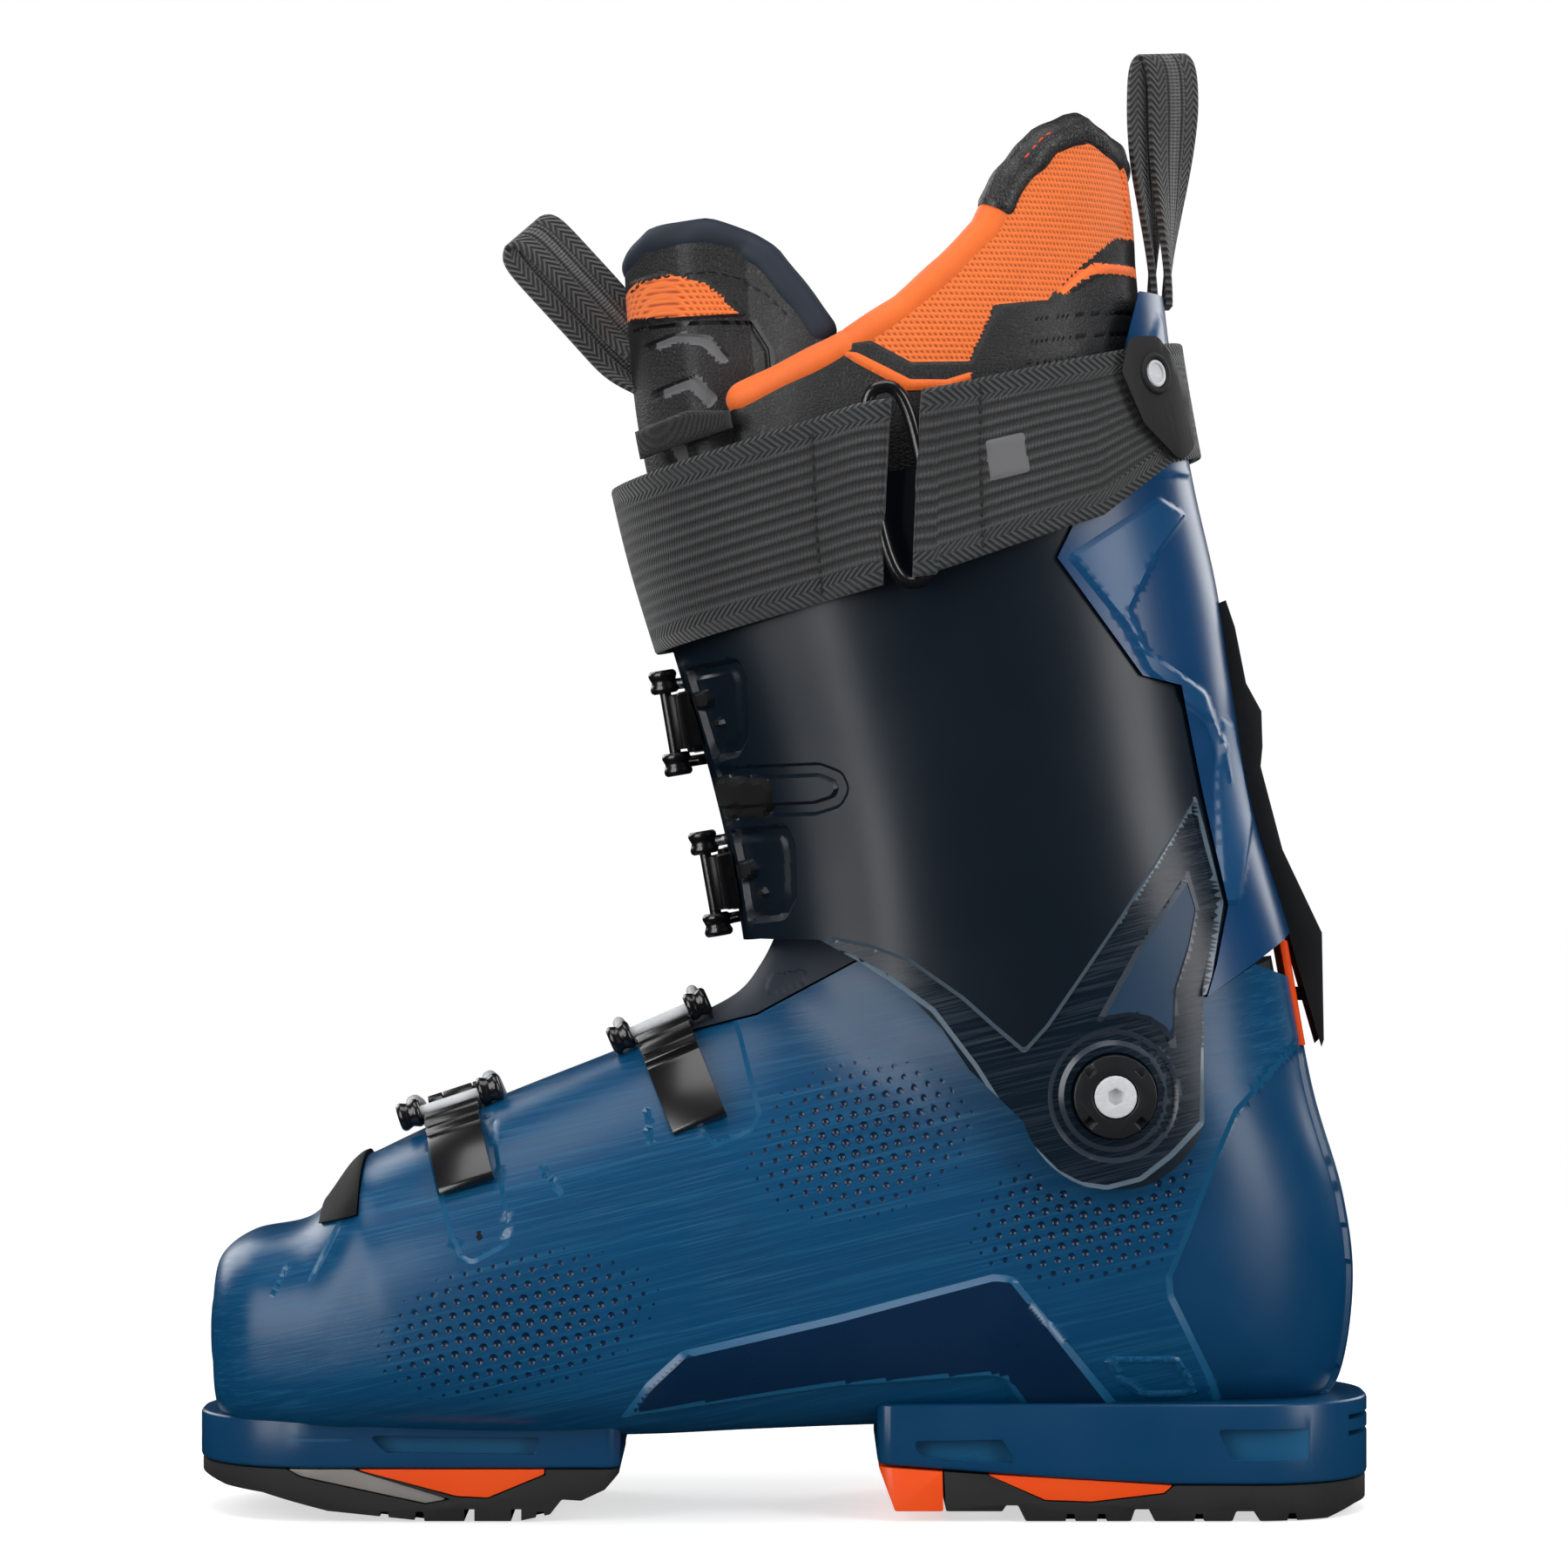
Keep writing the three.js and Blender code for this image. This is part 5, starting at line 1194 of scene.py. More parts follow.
def edge_way(grid):
    """Distances in millimetres to a grid's four borders: start, end, bottom, top."""
    du = np.linalg.norm(np.diff(grid, axis=1), axis=-1)
    dv = np.linalg.norm(np.diff(grid, axis=0), axis=-1)
    u = np.concatenate([np.zeros((grid.shape[0], 1)), np.cumsum(du, 1)], 1)
    v = np.concatenate([np.zeros((1, grid.shape[1])), np.cumsum(dv, 0)], 0)
    return u, u[:, -1:] - u, v, v[-1:] - v


def rounded(e, radius):
    return np.sqrt(np.maximum(0, 1 - (1 - np.clip(e / radius, 0, 1)) ** 2))


RAD = math.pi / 180
Q = 1.0

# ---------------------------------------------------------------- liner
LINER_TOP = [(-60, 268), (-18.8, 285.5), (-4, 292), (13, 300), (31, 311), (44, 322), (54, 332), (60, 344),
             (70, 355), (79, 359), (88, 354), (93, 345), (100, 338)]
turns = even_turns(LINER, 0.8, 141 * RAD, 399 * RAD, int(400 * Q))
grid, nn = patch_of(LINER, -4.0, turns, [(-60, 205), (110, 225)], LINER_TOP, int(190 * Q))
MESH_AREA = [(22.1, 300.8), (32.1, 295.3), (47.6, 295.7), (54.2, 310.3), (67.5, 311.9), (77.5, 321.8),
             (86.3, 329.6), (95, 330.3), (95, 366), (44, 366), (10, 312), (6, 301.5)]
LINE_1 = [(13.7, 299.2), (18.8, 298.6), (32.1, 291.8), (41, 291.8), (47.6, 293.9), (47.6, 291.7),
          (41.6, 289.2), (31, 289), (18.4, 296)]
LINE_2 = [(69.6, 314.8), (75.3, 320.6), (80.1, 323), (92, 323.6), (92, 321), (80.8, 320.4), (76.4, 318.2),
          (72.6, 314.8)]
r = Relief(1.0)
r.step(MESH_AREA, -0.9, 0.9, "both", 1, 0)
r.step(LINE_1, 0.5, 0.5, "both", 2, 2)
r.step(LINE_2, 0.5, 0.5, "both", 2, 2)
for k in range(3):
    z = 306 - 5.5 * k
    r.step([(56 + 2 * k, z), (88, z + 4), (88, z + 5.2), (56 + 2 * k, z + 1.2)], -0.5, 0.5, "both")
grid, _, lifted = r.apply(grid, wrap=False)
u0, u1, v0, v1 = edge_way(grid)
puff = 0.5 * np.sin(np.clip(v1 / 26, 0, 1) * math.pi)
half = 4.0 * np.minimum(rounded(v1 + 0.6, 4.4), np.minimum(rounded(u0 + 0.4, 4), rounded(u1 + 0.4, 4)))


def liner_index(p, back=False):
    if back:
        return np.full(len(p), 3)
    return r.index(p, np.ones(len(p)))


liner = thick("liner_cuff_shaft", grid + nn * (puff * 0.5)[..., None], nn,
              np.maximum(half, 0.25) + puff * 0.4, ("panel", "mesh", "pipe", "lining"), liner_index,
              lift=lifted)
finish_piece(liner, "cuff", ["liner_cuff"], 50)
top = grid[-1] - np.array([0, 0, 1.2])


def way_of(path):
    return np.concatenate([[0], np.cumsum(np.linalg.norm(np.diff(path, axis=0), axis=1))])


def resample(path, step):
    w = way_of(path)
    at = np.linspace(0, w[-1], max(4, int(w[-1] / step)))
    return np.stack([np.interp(at, w, path[:, k]) for k in range(3)], 1)


for label, keep in (("medial", top[:, 1] < 0), ("lateral", top[:, 1] > 0)):
    path = resample(top[keep & (top[:, 0] < 55.5)], 1.2)
    w = way_of(path)
    radius = 4.7 * np.minimum(rounded(w + 1.0, 5), rounded(w[-1] - w + 1.5, 3)) + 0.1 * np.sin(w / 3.1)
    o = tube(f"liner_piping_{label}", path, radius, ("pipe",), 28)
    finish_piece(o, "cuff", (), 60)
path = resample(top[top[:, 0] > 54], 1.2)
w = way_of(path)
wrinkle = 0.12 * np.sin(w / 2.3) + 0.1 * np.sin(w / 1.3 + 1)
o = tube("liner_collar", path, 5.3 * np.minimum(rounded(w + 2.5, 4), rounded(w[-1] - w + 2.5, 4)) + wrinkle,
         ("collar",), 32)
finish_piece(o, "cuff", (), 60)


def stitches(name, path, mat, pitch=3.4, length=2.3, radius=0.36, body="cuff"):
    """A row of separate stitches along a path."""
    path = resample(np.asarray(path, float), 0.4)
    w = way_of(path)
    parts, base, faces = [], 0, []
    at = 0.0
    while at + length < w[-1]:
        q = np.stack([np.interp(np.linspace(at, at + length, 6), w, path[:, k]) for k in range(3)], 1)
        t = np.gradient(q, axis=0)
        t /= np.linalg.norm(t, axis=1, keepdims=True)
        s = np.cross(t, [0.3, 0.9, 0.2])
        s /= np.linalg.norm(s, axis=1, keepdims=True)
        b = np.cross(t, s)
        size = radius * np.array([0.3, 0.85, 1, 1, 0.85, 0.3])
        ring = [q[k] + size[k] * (math.cos(a) * s[k] + math.sin(a) * b[k]) for k in range(6)
                for a in np.linspace(0, 2 * math.pi, 8, endpoint=False)]
        parts.append(np.array(ring))
        for k in range(5):
            faces += [[base + k * 8 + j, base + k * 8 + (j + 1) % 8, base + (k + 1) * 8 + (j + 1) % 8,
                       base + (k + 1) * 8 + j] for j in range(8)]
        faces += [[base + j for j in range(8)][::-1], [base + 40 + j for j in range(8)]]
        base += 48
        at += pitch
    o = make(name, np.vstack(parts), faces, (mat,))
    return finish_piece(o, body, (), 60)


for label, sign in (("medial", -1), ("lateral", 1)):
    side = path[(path[:, 1] * sign > 0) & (path[:, 0] > 57)]
    side = side if side[0, 0] < side[-1, 0] else side[::-1]
    for row, lift in enumerate((2.0, -1.6)):
        k = (side[:, 0] > 61 + row) & (side[:, 0] < 75 + row)
        line = side[k] + np.array([0, sign * (4.9 if row == 0 else 5.1), lift])
        stitches(f"collar_stitch_{label}_{row + 1}", line, "thread", 3.0, 2.0, 0.3)

# ---------------------------------------------------------------- tongue
TONGUE_TOP = [(-60, 322), (-43.4, 324), (-36.5, 329.4), (-25, 330.6), (-11.4, 323.7), (0, 312), (5.7, 305),
              (12, 299), (30, 285)]
turns = even_turns(LINER, 0.8, 168 * RAD, 12 * RAD, int(280 * Q))
deg = np.abs(turns / RAD - 90)
inside = np.clip((deg - 40) / 14, 0, 1)
inside = inside * inside * (3 - 2 * inside)
grid, nn = patch_of(LINER, (-4.2 - 8.6 * inside)[None, :], turns, [(-60, 222), (30, 232), (100, 240)],
                    TONGUE_TOP, int(180 * Q))
r = Relief(0.9)
T_MESH = [(-46, 312), (-44.3, 316), (-38.7, 319.5), (-28.8, 321), (-19.5, 318), (-9.3, 309), (-22.1, 308.2),
          (-34.3, 308.6), (-46, 309.6)]
r.step(T_MESH, -0.8, 0.8, "both", 1, 0)
for line in (
    [(-33, 303), (-26, 305.2), (-19, 304), (-14, 298), (-16, 296.5), (-21, 301.5), (-27, 302.6),
     (-33, 300.6)],
    [(-31, 291), (-22, 294), (-17, 288), (-19, 285), (-24, 290.5), (-31, 288.4)],
    [(-36, 282), (-27, 281), (-24, 272), (-27, 271), (-30, 278), (-36, 279)],
):
    r.step(round_line(line, 0.8, 2), 0.8, 0.7, "both", 2, 2)
r.step([(-50, 306.4), (-8, 306.8), (-4, 300), (-3, 290), (-1.6, 290), (-2.6, 300.6), (-7, 308),
        (-50, 307.4)], 0.7, 0.5, "both", 4, 4)
grid, _, lifted = r.apply(grid, wrap=False)
u0, u1, v0, v1 = edge_way(grid)
half = np.maximum(3.9
                  * np.minimum(rounded(v1 + 0.6, 4.2),
                               np.minimum(rounded(u0 + 0.3, 4), rounded(u1 + 0.3, 4))), 0.25)


def tongue_index(p, back=False):
    if back:
        return np.full(len(p), 3)
    return r.index(p, np.ones(len(p)))


o = thick("tongue_shell", grid, nn, half, ("panel", "mesh", "patch", "lining", "black"), tongue_index,
          lift=lifted)
finish_piece(o, "cuff", ["tongue"], 45)
rim = resample(grid[-1][8:-8] - np.array([0, 0, 1.0]), 1.2)
w = way_of(rim)
o = tube("tongue_rim", rim,
         4.5 * np.minimum(rounded(w + 1, 5), rounded(w[-1] - w + 1, 5)) + 0.08 * np.sin(w / 2.1),
         ("insert",), 28)
finish_piece(o, "cuff", (), 60)
for label, sign in (("medial", -1), ("lateral", 1)):
    k = grid[int(grid.shape[0] * 0.905)]
    n = nn[int(grid.shape[0] * 0.905)]
    line = (k + n * 4.0)[(k[:, 1] * sign > 12) & (k[:, 0] < 2)]
    if len(line) > 4:
        stitches(f"tongue_stitch_{label}", line, "thread_black", 3.2, 2.2, 0.3)

# ---------------------------------------------------------------- power strap
UPPER = [(-75, 257), (-44, 265.5), (18.7, 284.7), (94, 302), (130, 310)]
LOWER = [(-75, 213), (-32, 223), (40.7, 243.5), (79, 257), (96, 271), (130, 281)]


def turn_at(x):
    """The direction round the cuff at which its medial side reaches a place along the boot."""
    t = np.linspace(90, 270, 3000) * RAD
    p = section(CUFF, [6.25 / 8], t[None, :], 0)[0]
    return t[np.argmin(np.abs(p[:, 0] - x))]


start, end = turn_at(32.4), turn_at(25.4) + 2 * math.pi
turns = even_turns(CUFF, 6.25 / 8, start, end, int(520 * Q))
rows_n = int(64 * Q)
tl, th = heights(CUFF, 0, turns, LOWER), heights(CUFF, 0, turns, UPPER)
v = np.linspace(0, 1, rows_n)[:, None]
base_p = section(CUFF, [6.25 / 8], turns[None, :], 0)[0]
w = way_of(base_p)
near0, near1 = w, w[-1] - w
lean = (np.exp(-near0 / 45) + np.exp(-near1 / 45))[None, :] * (v - 0.5) * 0.16
tt = turns[None, :] + lean
tlow = np.interp(np.mod(tt - start, 2 * math.pi) + start, turns, tl)
thigh = np.interp(np.mod(tt - start, 2 * math.pi) + start, turns, th)
t = tlow + (thigh - tlow) * v
fold = np.maximum(np.clip(1 - near0 / 20, 0, 1), np.clip(1 - near1 / 20, 0, 1))
fold = (fold * fold * (3 - 2 * fold))[None, :]
off = 3.3 + 3.5 * fold  # the ends fold over the ring
grid = np.empty((*t.shape, 3))
for k in range(rows_n):
    grid[k] = section(CUFF, t[k], tt[k][:, None], off[0][:, None])[:, 0]
nn = outward(grid)
r = Relief(1.0)
PATCH = round_line([(52, 265.5), (62, 268), (60.5, 278), (50.5, 275.6)], 0.8, 2)
r.step(PATCH, 0.35, 0.4, "medial", 1, 1)
grid, _, _ = r.apply(grid, wrap=False)
u0, u1, v0, v1 = edge_way(grid)


def strap_index(p, back=False):
    return np.zeros(len(p), int) if back else r.index(p, np.ones(len(p)))


half = (1.3 + 2.0 * fold) * np.minimum(rounded(np.minimum(u0, u1) + 0.3, 3.0),
                                       rounded(np.minimum(v0, v1) + 0.35, 1.0))
strap = thick("power_strap_webbing", grid, nn, np.maximum(half, 0.2), ("web", "patch"), strap_index,
              {"along": u0, "across": v0 * 40 / np.maximum(v0 + v1, 1), "side": np.minimum(v0, v1)})
finish_piece(strap, "cuff", ["power_strap"], 50)
for label, at in (("rear", 17.0), ("front", float(u0[0, -1]) - 17.0)):
    col = int(np.argmin(np.abs(u0[rows_n // 2] - at)))
    line = grid[3:-3, col] + nn[3:-3, col] * (half[3:-3, col, None] + 0.05)
    stitches(f"strap_stitch_{label}", line, "thread_black", 2.6, 1.9, 0.4)

# the strap's oval ring, and its rubber tab with an eyelet
a = np.linspace(0, 2 * math.pi, 90, endpoint=False)
x = 6.5 * np.sign(np.cos(a)) * np.abs(np.cos(a)) ** 0.7
z = 25 * np.sign(np.sin(a)) * np.abs(np.sin(a)) ** 0.7
ca, sa = math.cos(10 * RAD), math.sin(10 * RAD)
ring = resample(np.vstack([np.stack([29 + x * ca - z * sa, np.full(90, -57.9), 264.5 + x * sa + z * ca], 1)]
                          + [[29 + 6.5 * ca, -57.9, 264.5 + 6.5 * sa]]), 1.0)[:-1]
o = tube("strap_oval_ring", ring, 1.7, ("gloss",), 16, closed=True)
finish_piece(o, "cuff", ["strap_ring"], 60)

tab = loft(CUFF, 7.35, int(300 * Q), int(160 * Q), "strap_rubber_tab", ("rubber", "black"), span=(0.72, 1.0))
cut(tab, loft(CUFF, 4.95, int(300 * Q), int(160 * Q), "i", ("rubber",), span=(0.7, 1.0)))
TAB = round_line([(88, 303), (96, 304), (104, 292), (106, 276), (102, 271.5), (92, 281), (86, 294)], 3, 5)
cut(tab, slab(TAB, -60, 0), "INTERSECT")
cut(tab, pin(2.95, -90, 0, 95, 294, 36))
bevel(clean(tab, 0.4), 0.7, 2, 50)
finish_piece(tab, "cuff", ["strap_tab"], 40)
ts = section(CUFF, np.linspace(0.7, 1, 200), np.linspace(180, 270, 200)[None, :] * RAD, 7.2)
k = np.unravel_index(np.argmin((ts[..., 0] - 95) ** 2 + (ts[..., 2] - 294) ** 2), ts.shape[:2])
spot, out = ts[k], normals(ts, False)[k]
out = out if out[1] < 0 else -out
e1 = np.cross(out, [0, 0, 1])
e1 /= np.linalg.norm(e1)
e2 = np.cross(out, e1)
for name, radius, wire, lift, mat in (("strap_eyelet", 4.6, 0.9, 0.1, "rubber"),
                                      ("strap_eyelet_inner", 3.0, 0.55, 0.3, "steel")):
    path = np.array([spot + out * lift + radius * (math.cos(q) * e1 + math.sin(q) * e2)
                     for q in np.linspace(0, 2 * math.pi, 48, endpoint=False)])
    finish_piece(tube(name, path, wire, (mat,), 14, closed=True), "cuff", (), 60)
refine("strap_tab_rivet", "strap_rivet", "steel", "cuff", 0.3)

# black hook and loop tab over the strap's front
turns = even_turns(CUFF, 0.85, 118 * RAD, 146 * RAD, 30)
grid, nn = patch_of(CUFF, 0.9, turns, [(-75, 262), (-44, 270.5), (18.7, 289)],
                    [(-75, 273), (-40, 279), (-24, 284.5), (-10, 284), (20, 290)], 16)
u0, u1, v0, v1 = edge_way(grid)
half = np.maximum(1.4
                  * np.minimum(rounded(np.minimum(u0, u1) + 0.2, 2), rounded(np.minimum(v0, v1) + 0.2, 2)),
                  0.15)
finish_piece(thick("hook_tab", grid, nn, half, ("velcro",)), "cuff", (), 60)


# ---------------------------------------------------------------- pull loops
def ribbon(name, path, width, half_thick, twist, mats, node, lean, turning=0.42):
    """A closed loop of webbing along a side-view path. Its width turns from across the boot to partly
    along it."""
    p = np.array([(x, 0.0, z) for x, z in path], float)
    p = resample(p, 1.0)
    for _ in range(14):
        p[1:-1] = (p[:-2] + 2 * p[1:-1] + p[2:]) / 4
    w = way_of(p)
    t = np.gradient(p, axis=0)
    t /= np.linalg.norm(t, axis=1, keepdims=True)
    share = np.clip(np.minimum(w, w[-1] - w) / (turning * w[-1]), 0, 1)
    share = share * share * (3 - 2 * share)
    ang = twist * RAD * share
    wide = np.cos(ang)[:, None] * np.array([0, 1, 0]) + np.sin(ang)[:, None] * np.array(lean)
    wide /= np.linalg.norm(wide, axis=1, keepdims=True)
    n = np.cross(t, wide)
    n /= np.linalg.norm(n, axis=1, keepdims=True)
    s = np.linspace(-1, 1, 23)
    grid = p[None] + wide[None] * (s[:, None, None] * width / 2)
    nn = np.broadcast_to(n[None], grid.shape)
    side = (1 - np.abs(s))[:, None] * width / 2 + 0 * w[None]
    half = half_thick * np.maximum(rounded(side + 0.25, 0.9), 0.2)
    across = np.broadcast_to(((s + 1) * width / 2)[:, None], side.shape)
    along = np.broadcast_to(w[None], side.shape)
    o = thick(name, grid, nn, half, mats, None, {"along": along, "across": across, "side": side})
    return finish_piece(o, "cuff", [node], 60)


ribbon("rear_loop",
       [(100.6, 314), (100.8, 330), (101.6, 350), (102.4, 366), (102, 376), (100.6, 380.6), (98.4, 381.4),
        (96.9, 377), (96.6, 366), (96.4, 350), (96.6, 330), (96.8, 314)],
       15, 1.05, 60, ("loop",), "rear_pull_loop", (1, 0, 0.1))
ribbon("front_loop",
       [(-31, 286), (-39, 296.5), (-53, 312), (-65, 325), (-69.5, 330.5), (-69, 334.4), (-65.5, 335),
        (-60.5, 330), (-49, 317.5), (-37.5, 304.5), (-28, 293)],
       13.8, 1.05, 74, ("loop",), "front_pull_loop", (0.74, 0, 0.676), 0.2)


# ---------------------------------------------------------------- buckles
class Buckle:
    """A buckle's drawing plane: one section of a loft. A place is a way along the surface from the ridge,
    lateral counted positive, and a height over it."""

    def __init__(self, rows, t):
        ox, oz, ix, iz = track(np.asarray(rows, float), np.array([t]))[0][:4]
        self.o = np.array([ox, 0, oz])
        d = np.array([ix - ox, 0, iz - oz])
        self.d = d / np.linalg.norm(d)
        self.s = np.array([self.d[2], 0, -self.d[0]])
        turn = np.linspace(1.5 * math.pi, -0.5 * math.pi, 2401)
        p = section(rows, [t], turn[None, :], 0)[0]
        self.q = np.stack([p[:, 1], (p - self.o) @ self.d], 1)
        way = np.concatenate([[0], np.cumsum(np.linalg.norm(np.diff(self.q, axis=0), axis=1))])
        self.w = way - way[1200]

    def at(self, way):
        return np.array([np.interp(way, self.w, self.q[:, 0]), np.interp(way, self.w, self.q[:, 1])])

    def place(self, way, height):
        f = self.at(way + 1.2) - self.at(way - 1.2)
        f /= np.linalg.norm(f)
        return self.at(way) + np.array([-f[1], f[0]]) * height

    def world(self, p, a=0.0):
        return self.o + p[0] * np.array([0, 1, 0]) + p[1] * self.d + a * self.s

    def block(self, points, a, b, index=0):
        n = len(points)
        verts = np.array([self.world(p, a) for p in points] + [self.world(p, b) for p in points])
        faces = [list(range(n))[::-1],
                 [n + k for k in range(n)]] + [[k, (k + 1) % n, n + (k + 1) % n, n + k] for k in range(n)]
        return verts, faces, [index] * len(faces)


def ridge_at(rows, z):
    lo, hi = 0.0, 1.0
    for _ in range(30):
        mid = (lo + hi) / 2
        if track(np.asarray(rows, float), np.array([mid]))[0][3] < z:
            lo = mid
        else:
            hi = mid
    return lo


def buckle(name, rows, t, body, pin_way, bar_way, teeth, start, end, rack_height):
    b = Buckle(rows, t)
    # the toothed rack, with soft ripples and a plain tail
    first = bar_way + 1.5 + 1.4 + 2.4
    ways = np.arange(end, start + 0.01, 0.4)
    top = np.full(len(ways), rack_height)
    for k in range(teeth):
        c = first - 6.2 * k
        x = ways - (c - 1.55)
        top += 1.65 * np.clip(1 - np.abs(np.where(x < 0, x / 1.0, x / 1.5)), 0, 1) ** 0.8
    ends = np.minimum(ways - end, start - ways)
    top -= 1.2 * (1 - rounded(ends + 0.3, 1.6))
    upper = [b.place(w, h) for w, h in zip(ways, top)]
    lower = [b.place(w, -1.0) for w in np.linspace(start, end, 14)]
    rack = solid(f"{name}_toothed_rack", [b.block(upper + lower, -7.2, 7.2)], ("gloss",))
    cut(rack, loft(rows, GAP, 150, 120, "env", ("gloss",)))
    bevel(clean(rack, 0.6), 0.8, 3, 60)
    finish_piece(rack, body, [f"{name}_rack"], 40)
    # hinge plate, pin and lever keep the CAD's shapes
    refine(f"{name}_base", f"{name}_hinge_plate", "gloss", body, 0.6, 2)
    refine(f"{name}_pin", f"{name}_hinge_pin", "steel", body, 0.25, 2)
    refine(f"{name}_lever", f"{name}_lever_arm", "gloss", f"{name}_lever", 0.8, 3)
    # the wire bail with its two drums
    peg = b.place(pin_way + 12, 7.4 - 0.6)
    bar_height = rack_height + 1.5 + GAP
    arms = [peg, b.place(pin_way - 2, 9.0), b.place(pin_way - 13, 7.4),
            b.place((pin_way - 13 + bar_way) / 2, (7.4 + bar_height) / 2 + 0.8),
            b.place(bar_way + 4, bar_height + 0.6), b.place(bar_way, bar_height)]
    arm = 10.5
    path = [b.world(peg, -6.8)] + [b.world(p, -arm) for p in arms]
    path += [b.world(p, arm) for p in arms[::-1]] + [b.world(peg, 6.8)]
    wire = tube(f"{name}_wire_bail", soften(path, 2.2), 1.5, ("gloss" if "cuff" in name else "steel",), 18)
    finish_piece(wire, f"{name}_bail", [f"{name}_bail"], 60)
    bar = b.world(arms[-1])
    for side, label in ((-1, "a"), (1, "b")):
        prof = [(7.9, 1.3), (7.9, 3.0), (8.4, 3.6), (9.2, 3.75), (10.2, 3.35), (10.9, 3.1), (11.6, 3.35),
                (12.6, 3.75), (13.4, 3.6), (13.9, 3.0), (13.9, 0.2)]
        rings = []
        e1, e2 = np.array([0.0, 1.0, 0.0]), b.d
        for w, radius in prof:
            a = np.linspace(0, 2 * math.pi, 36, endpoint=False)
            rings.append(bar + b.s * side * w + radius * (np.cos(a)[:, None] * e1 + np.sin(a)[:, None] * e2))
        verts = np.vstack(rings)
        n = 36
        faces = [[k * n + j, k * n + (j + 1) % n, (k + 1) * n + (j + 1) % n, (k + 1) * n + j]
                 for k in range(len(prof) - 1) for j in range(n)]
        faces += [list(range(n)), [(len(prof) - 1) * n + j for j in range(n)]]
        o = make(f"{name}_drum_{label}", verts, faces, ("gloss",))
        finish_piece(o, f"{name}_bail", (), 40)


buckle("toe_buckle", SHELL, 6.1 / 17, "shell", 27, -9, 4, 7, -46, 2.4)
buckle("instep_buckle", SHELL, 8.55 / 17, "shell", 27, -9, 4, 7, -46, 2.4)
UPPER_Z = 223 - 10.5 - 1.5 - 5
buckle("lower_cuff_buckle", CUFF, ridge_at(CUFF, UPPER_Z - 42), "cuff", 27, -3, 2, 9, -13, 4.4)
buckle("upper_cuff_buckle", CUFF, ridge_at(CUFF, UPPER_Z), "cuff", 27, -3, 2, 9, -13, 4.4)

# ---------------------------------------------------------------- pivots and the rear link
for side in ("medial", "lateral"):
    refine(f"pivot_bush_{side}", f"pivot_disc_{side}", "bush", "shell", 0.7, 3)
    refine(f"pivot_screw_{side}", f"pivot_bolt_{side}", "steel", "shell", 0.35, 3)
refine("link_screw_lower", "link_bolt_lower", "black", "shell", 0.5, 3)
refine("link_screw_upper", "link_bolt_upper", "black", "cuff", 0.5, 3)

link = bpy.data.objects.new("rear_flex_link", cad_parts["rear_link"].data.copy())
bpy.context.scene.collection.objects.link(link)
link.data.materials.clear()
link.data.materials.append(M["bush"])
link.data.polygons.foreach_set("material_index", np.zeros(len(link.data.polygons), np.int32))
clean(link, 1.5)
bevel(link, 0.9, 3, 33)
bm = bmesh.new()
bm.from_mesh(link.data)
for z in np.linspace(124, 232, 28):
    bmesh.ops.bisect_plane(bm, geom=bm.verts[:] + bm.edges[:] + bm.faces[:], plane_co=(0, 0, z / 1000),
                           plane_no=(0, 0, 1))
bm.to_mesh(link.data)
bm.free()
smooth(link, 40)
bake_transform(link)
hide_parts("rear_link")


# ---------------------------------------------------------------- what the CAD still shows
LEFT = {
    "boot_board": "board", "insole": "insole", "liner_foot": "lining", "liner_cuff": "mesh",
    "tongue": "panel",
    "rear_link": "black", "power_strap": "web", "strap_ring": "steel", "strap_tab": "rubber",
    "strap_tab_rivet": "steel",
    "front_pull_loop": "loop", "rear_pull_loop": "loop",
}
for name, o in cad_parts.items():
    if o.hide_render:
        continue
    kind = LEFT.get(name)
    if kind is None:
        if "screw" in name or name.endswith("_pin"):
            kind = "black" if "link" in name else "steel"
        elif name.endswith("_bail"):
            kind = "steel"
        elif name.startswith("pivot_bush"):
            kind = "bush"
        elif "insert" in name or "block" in name or "wedge" in name:
            kind = "orange"
        elif "glide" in name:
            kind = "glide"
        elif name.endswith("_sole"):
            kind = "rubber"
        elif name.endswith("_rack"):
            kind = "gloss"
        else:
            kind = "black"
    o.data.materials.clear()
    o.data.materials.append(M[kind])
    o.data.shade_smooth()
    o.data.set_sharp_from_angle(angle=math.radians(35))

# ---------------------------------------------------------------- floor, light and camera
bm = bmesh.new()
bmesh.ops.create_grid(bm, x_segments=1, y_segments=1, size=6)
me = bpy.data.meshes.new("floor")
bm.to_mesh(me)
floor = bpy.data.objects.new("floor", me)
bpy.context.scene.collection.objects.link(floor)
fm = bpy.data.materials.new("floor_white")
fm.use_nodes = True
# the paper turns from lit paper under the boot to plain white further off
paper, ft = fm.node_tree.nodes["Principled BSDF"], fm.node_tree
paper.inputs["Roughness"].default_value = 1.0
paper.inputs["Specular IOR Level"].default_value = 0.0
paper.inputs["Emission Strength"].default_value = 1.0
geo, far = ft.nodes.new("ShaderNodeNewGeometry"), ft.nodes.new("ShaderNodeVectorMath")
far.operation = "LENGTH"
ft.links.new(geo.outputs["Position"], far.inputs[0])
for socket, near_value, far_value in (("Base Color", 0.62, 0.0), ("Emission Color", 0.6, 1.0)):
    ramp = ft.nodes.new("ShaderNodeMapRange")
    ramp.interpolation_type = "SMOOTHSTEP"
    ramp.inputs["From Min"].default_value, ramp.inputs["From Max"].default_value = 0.3, 1.1
    ramp.inputs["To Min"].default_value, ramp.inputs["To Max"].default_value = near_value, far_value
    ft.links.new(far.outputs["Value"], ramp.inputs["Value"])
    ft.links.new(ramp.outputs["Result"], paper.inputs[socket])
me.materials.append(fm)
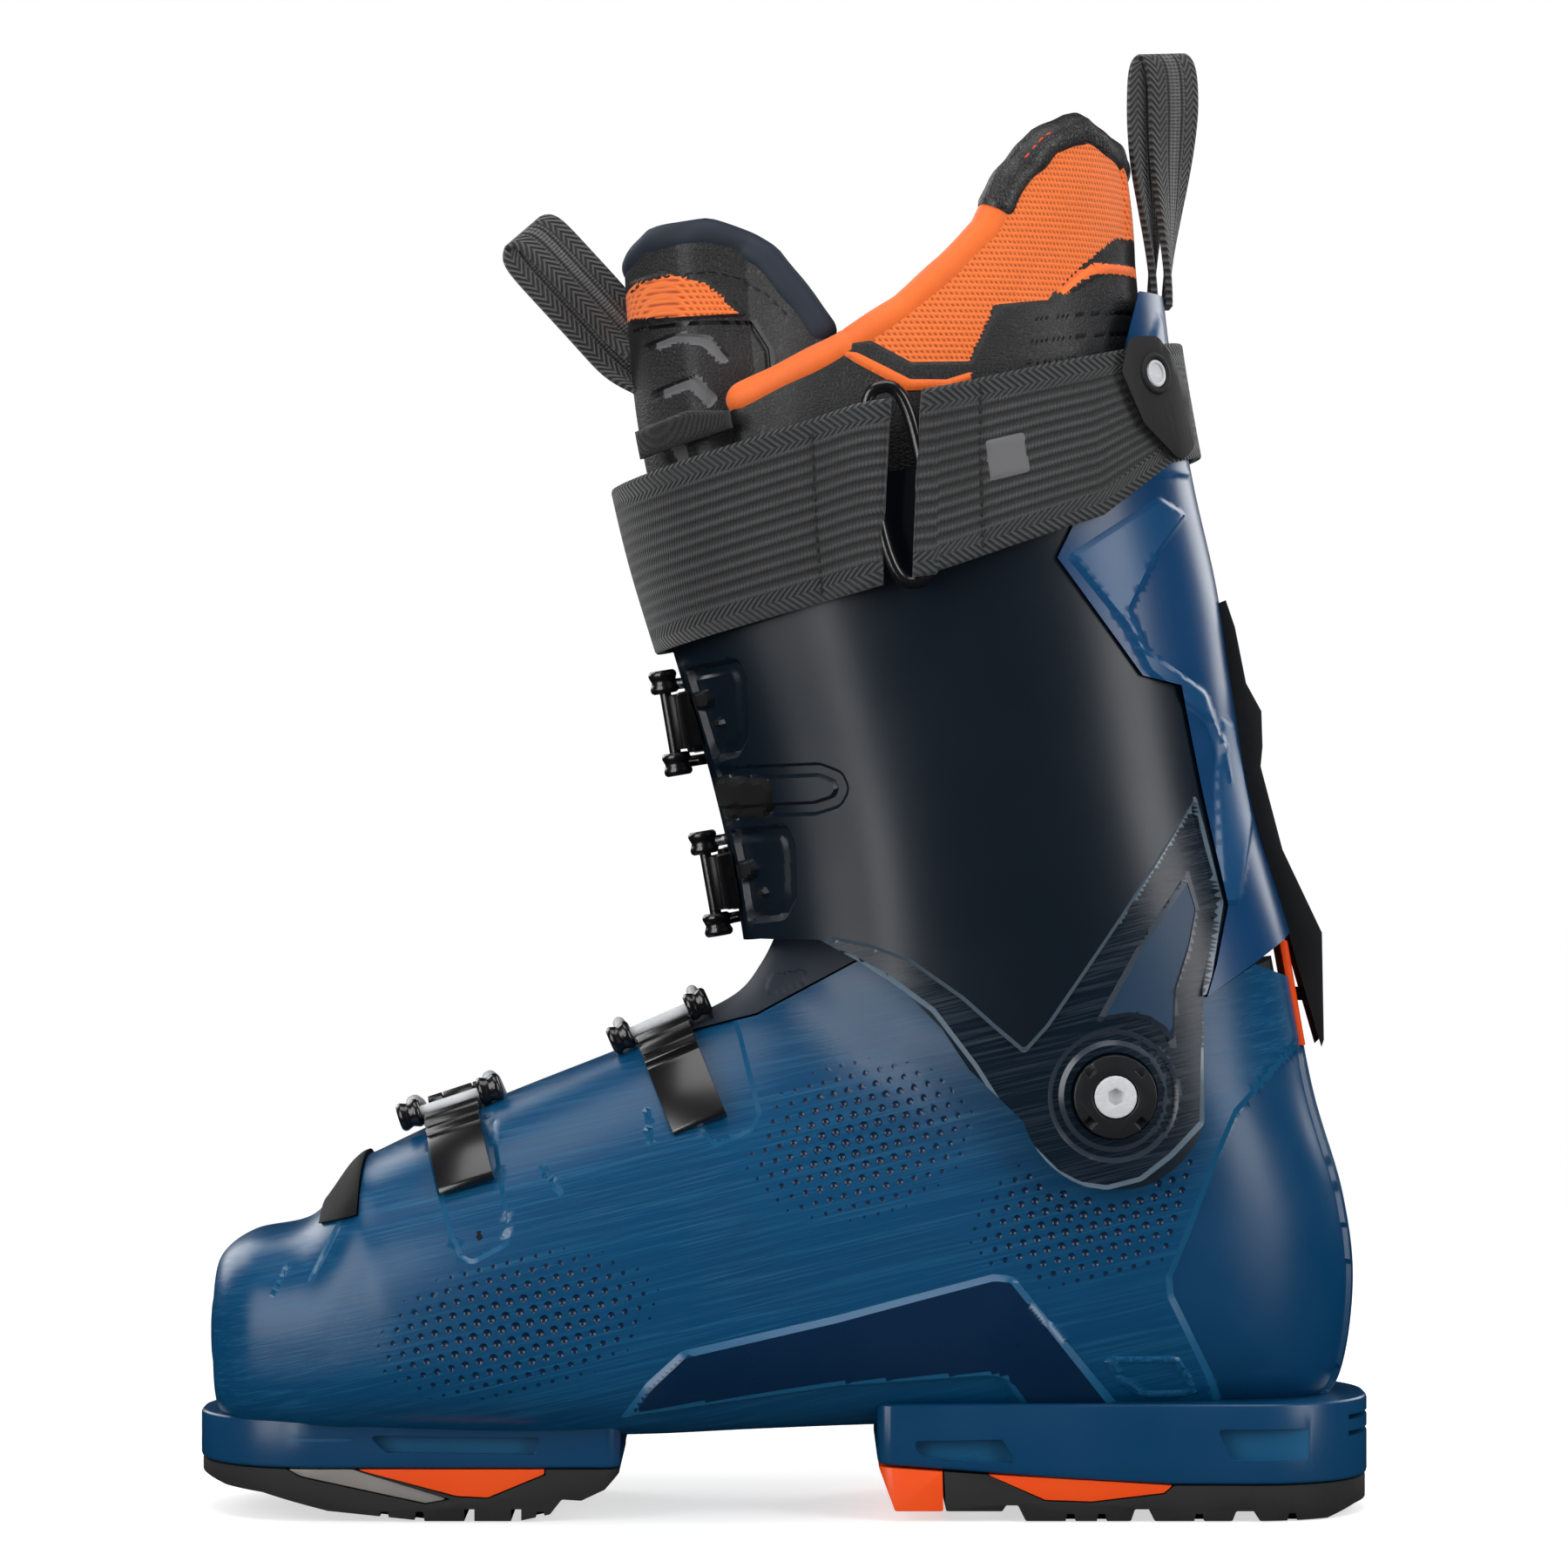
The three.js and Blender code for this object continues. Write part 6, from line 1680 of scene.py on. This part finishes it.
floor.location.z = -0.0003
floor.visible_glossy = floor.visible_diffuse = False

# a lit paper backdrop, which the lamps' reflections don't show
bm = bmesh.new()
bmesh.ops.create_cone(bm, cap_ends=True, segments=64, radius1=5.6, radius2=5.6, depth=7)
me = bpy.data.meshes.new("backdrop")
bm.to_mesh(me)
backdrop = bpy.data.objects.new("backdrop", me)
bpy.context.scene.collection.objects.link(backdrop)
backdrop.location = (0, 0, 3.4)
bright = bpy.data.materials.new("backdrop_white")
bright.use_nodes = True
bright.node_tree.nodes["Principled BSDF"].inputs["Emission Color"].default_value = (1, 1, 1, 1)
bright.node_tree.nodes["Principled BSDF"].inputs["Emission Strength"].default_value = 1.0
bright.node_tree.nodes["Principled BSDF"].inputs["Base Color"].default_value = (0, 0, 0, 1)
me.materials.append(bright)
backdrop.visible_diffuse = backdrop.visible_glossy = False

world = bpy.data.worlds.new("studio")
bpy.context.scene.world = world
world.use_nodes = True
world.node_tree.nodes["Background"].inputs[0].default_value = (1, 1, 1, 1)
world.node_tree.nodes["Background"].inputs[1].default_value = 0.36
world.cycles_visibility.glossy = False


def area(name, at, to, size, power, gloss_only=False):
    light = bpy.data.lights.new(name, "AREA")
    light.shape, light.size, light.size_y = "RECTANGLE", size[0], size[1]
    light.energy = power
    o = bpy.data.objects.new(name, light)
    bpy.context.scene.collection.objects.link(o)
    o.location = at
    o.rotation_euler = (Vector(to) - Vector(at)).to_track_quat("-Z", "Y").to_euler()
    o.visible_diffuse = not gloss_only


area("left", (-1.25, -0.95, 0.55), (-0.15, 0, 0.12), (0.7, 1.3), 13)
area("right", (1.15, -0.9, 0.6), (0, 0, 0.15), (0.6, 1.3), 13)
area("top", (-0.15, -0.25, 1.5), (-0.1, 0, 0.1), (1.3, 0.9), 10)
area("strip", (-0.8, -1.3, 0.4), (-0.08, 0, 0.22), (0.1, 1.1), 6.0, True)
area("back_left", (-1.0, 1.0, 0.8), (-0.1, 0, 0.15), (0.8, 1.0), 8)
area("back_right", (1.0, 1.1, 0.8), (-0.1, 0, 0.15), (0.8, 1.0), 8)

cam = bpy.data.cameras.new("camera")
cam.lens, cam.sensor_width, cam.sensor_fit = 124.1, 36, "HORIZONTAL"
camera = bpy.data.objects.new("camera", cam)
bpy.context.scene.collection.objects.link(camera)
camera.location = (-0.102, -1.420, 0.189)
camera.rotation_euler = (math.pi / 2, 0, 0)
bpy.context.scene.camera = camera
bpy.context.scene.view_settings.view_transform = "Standard"
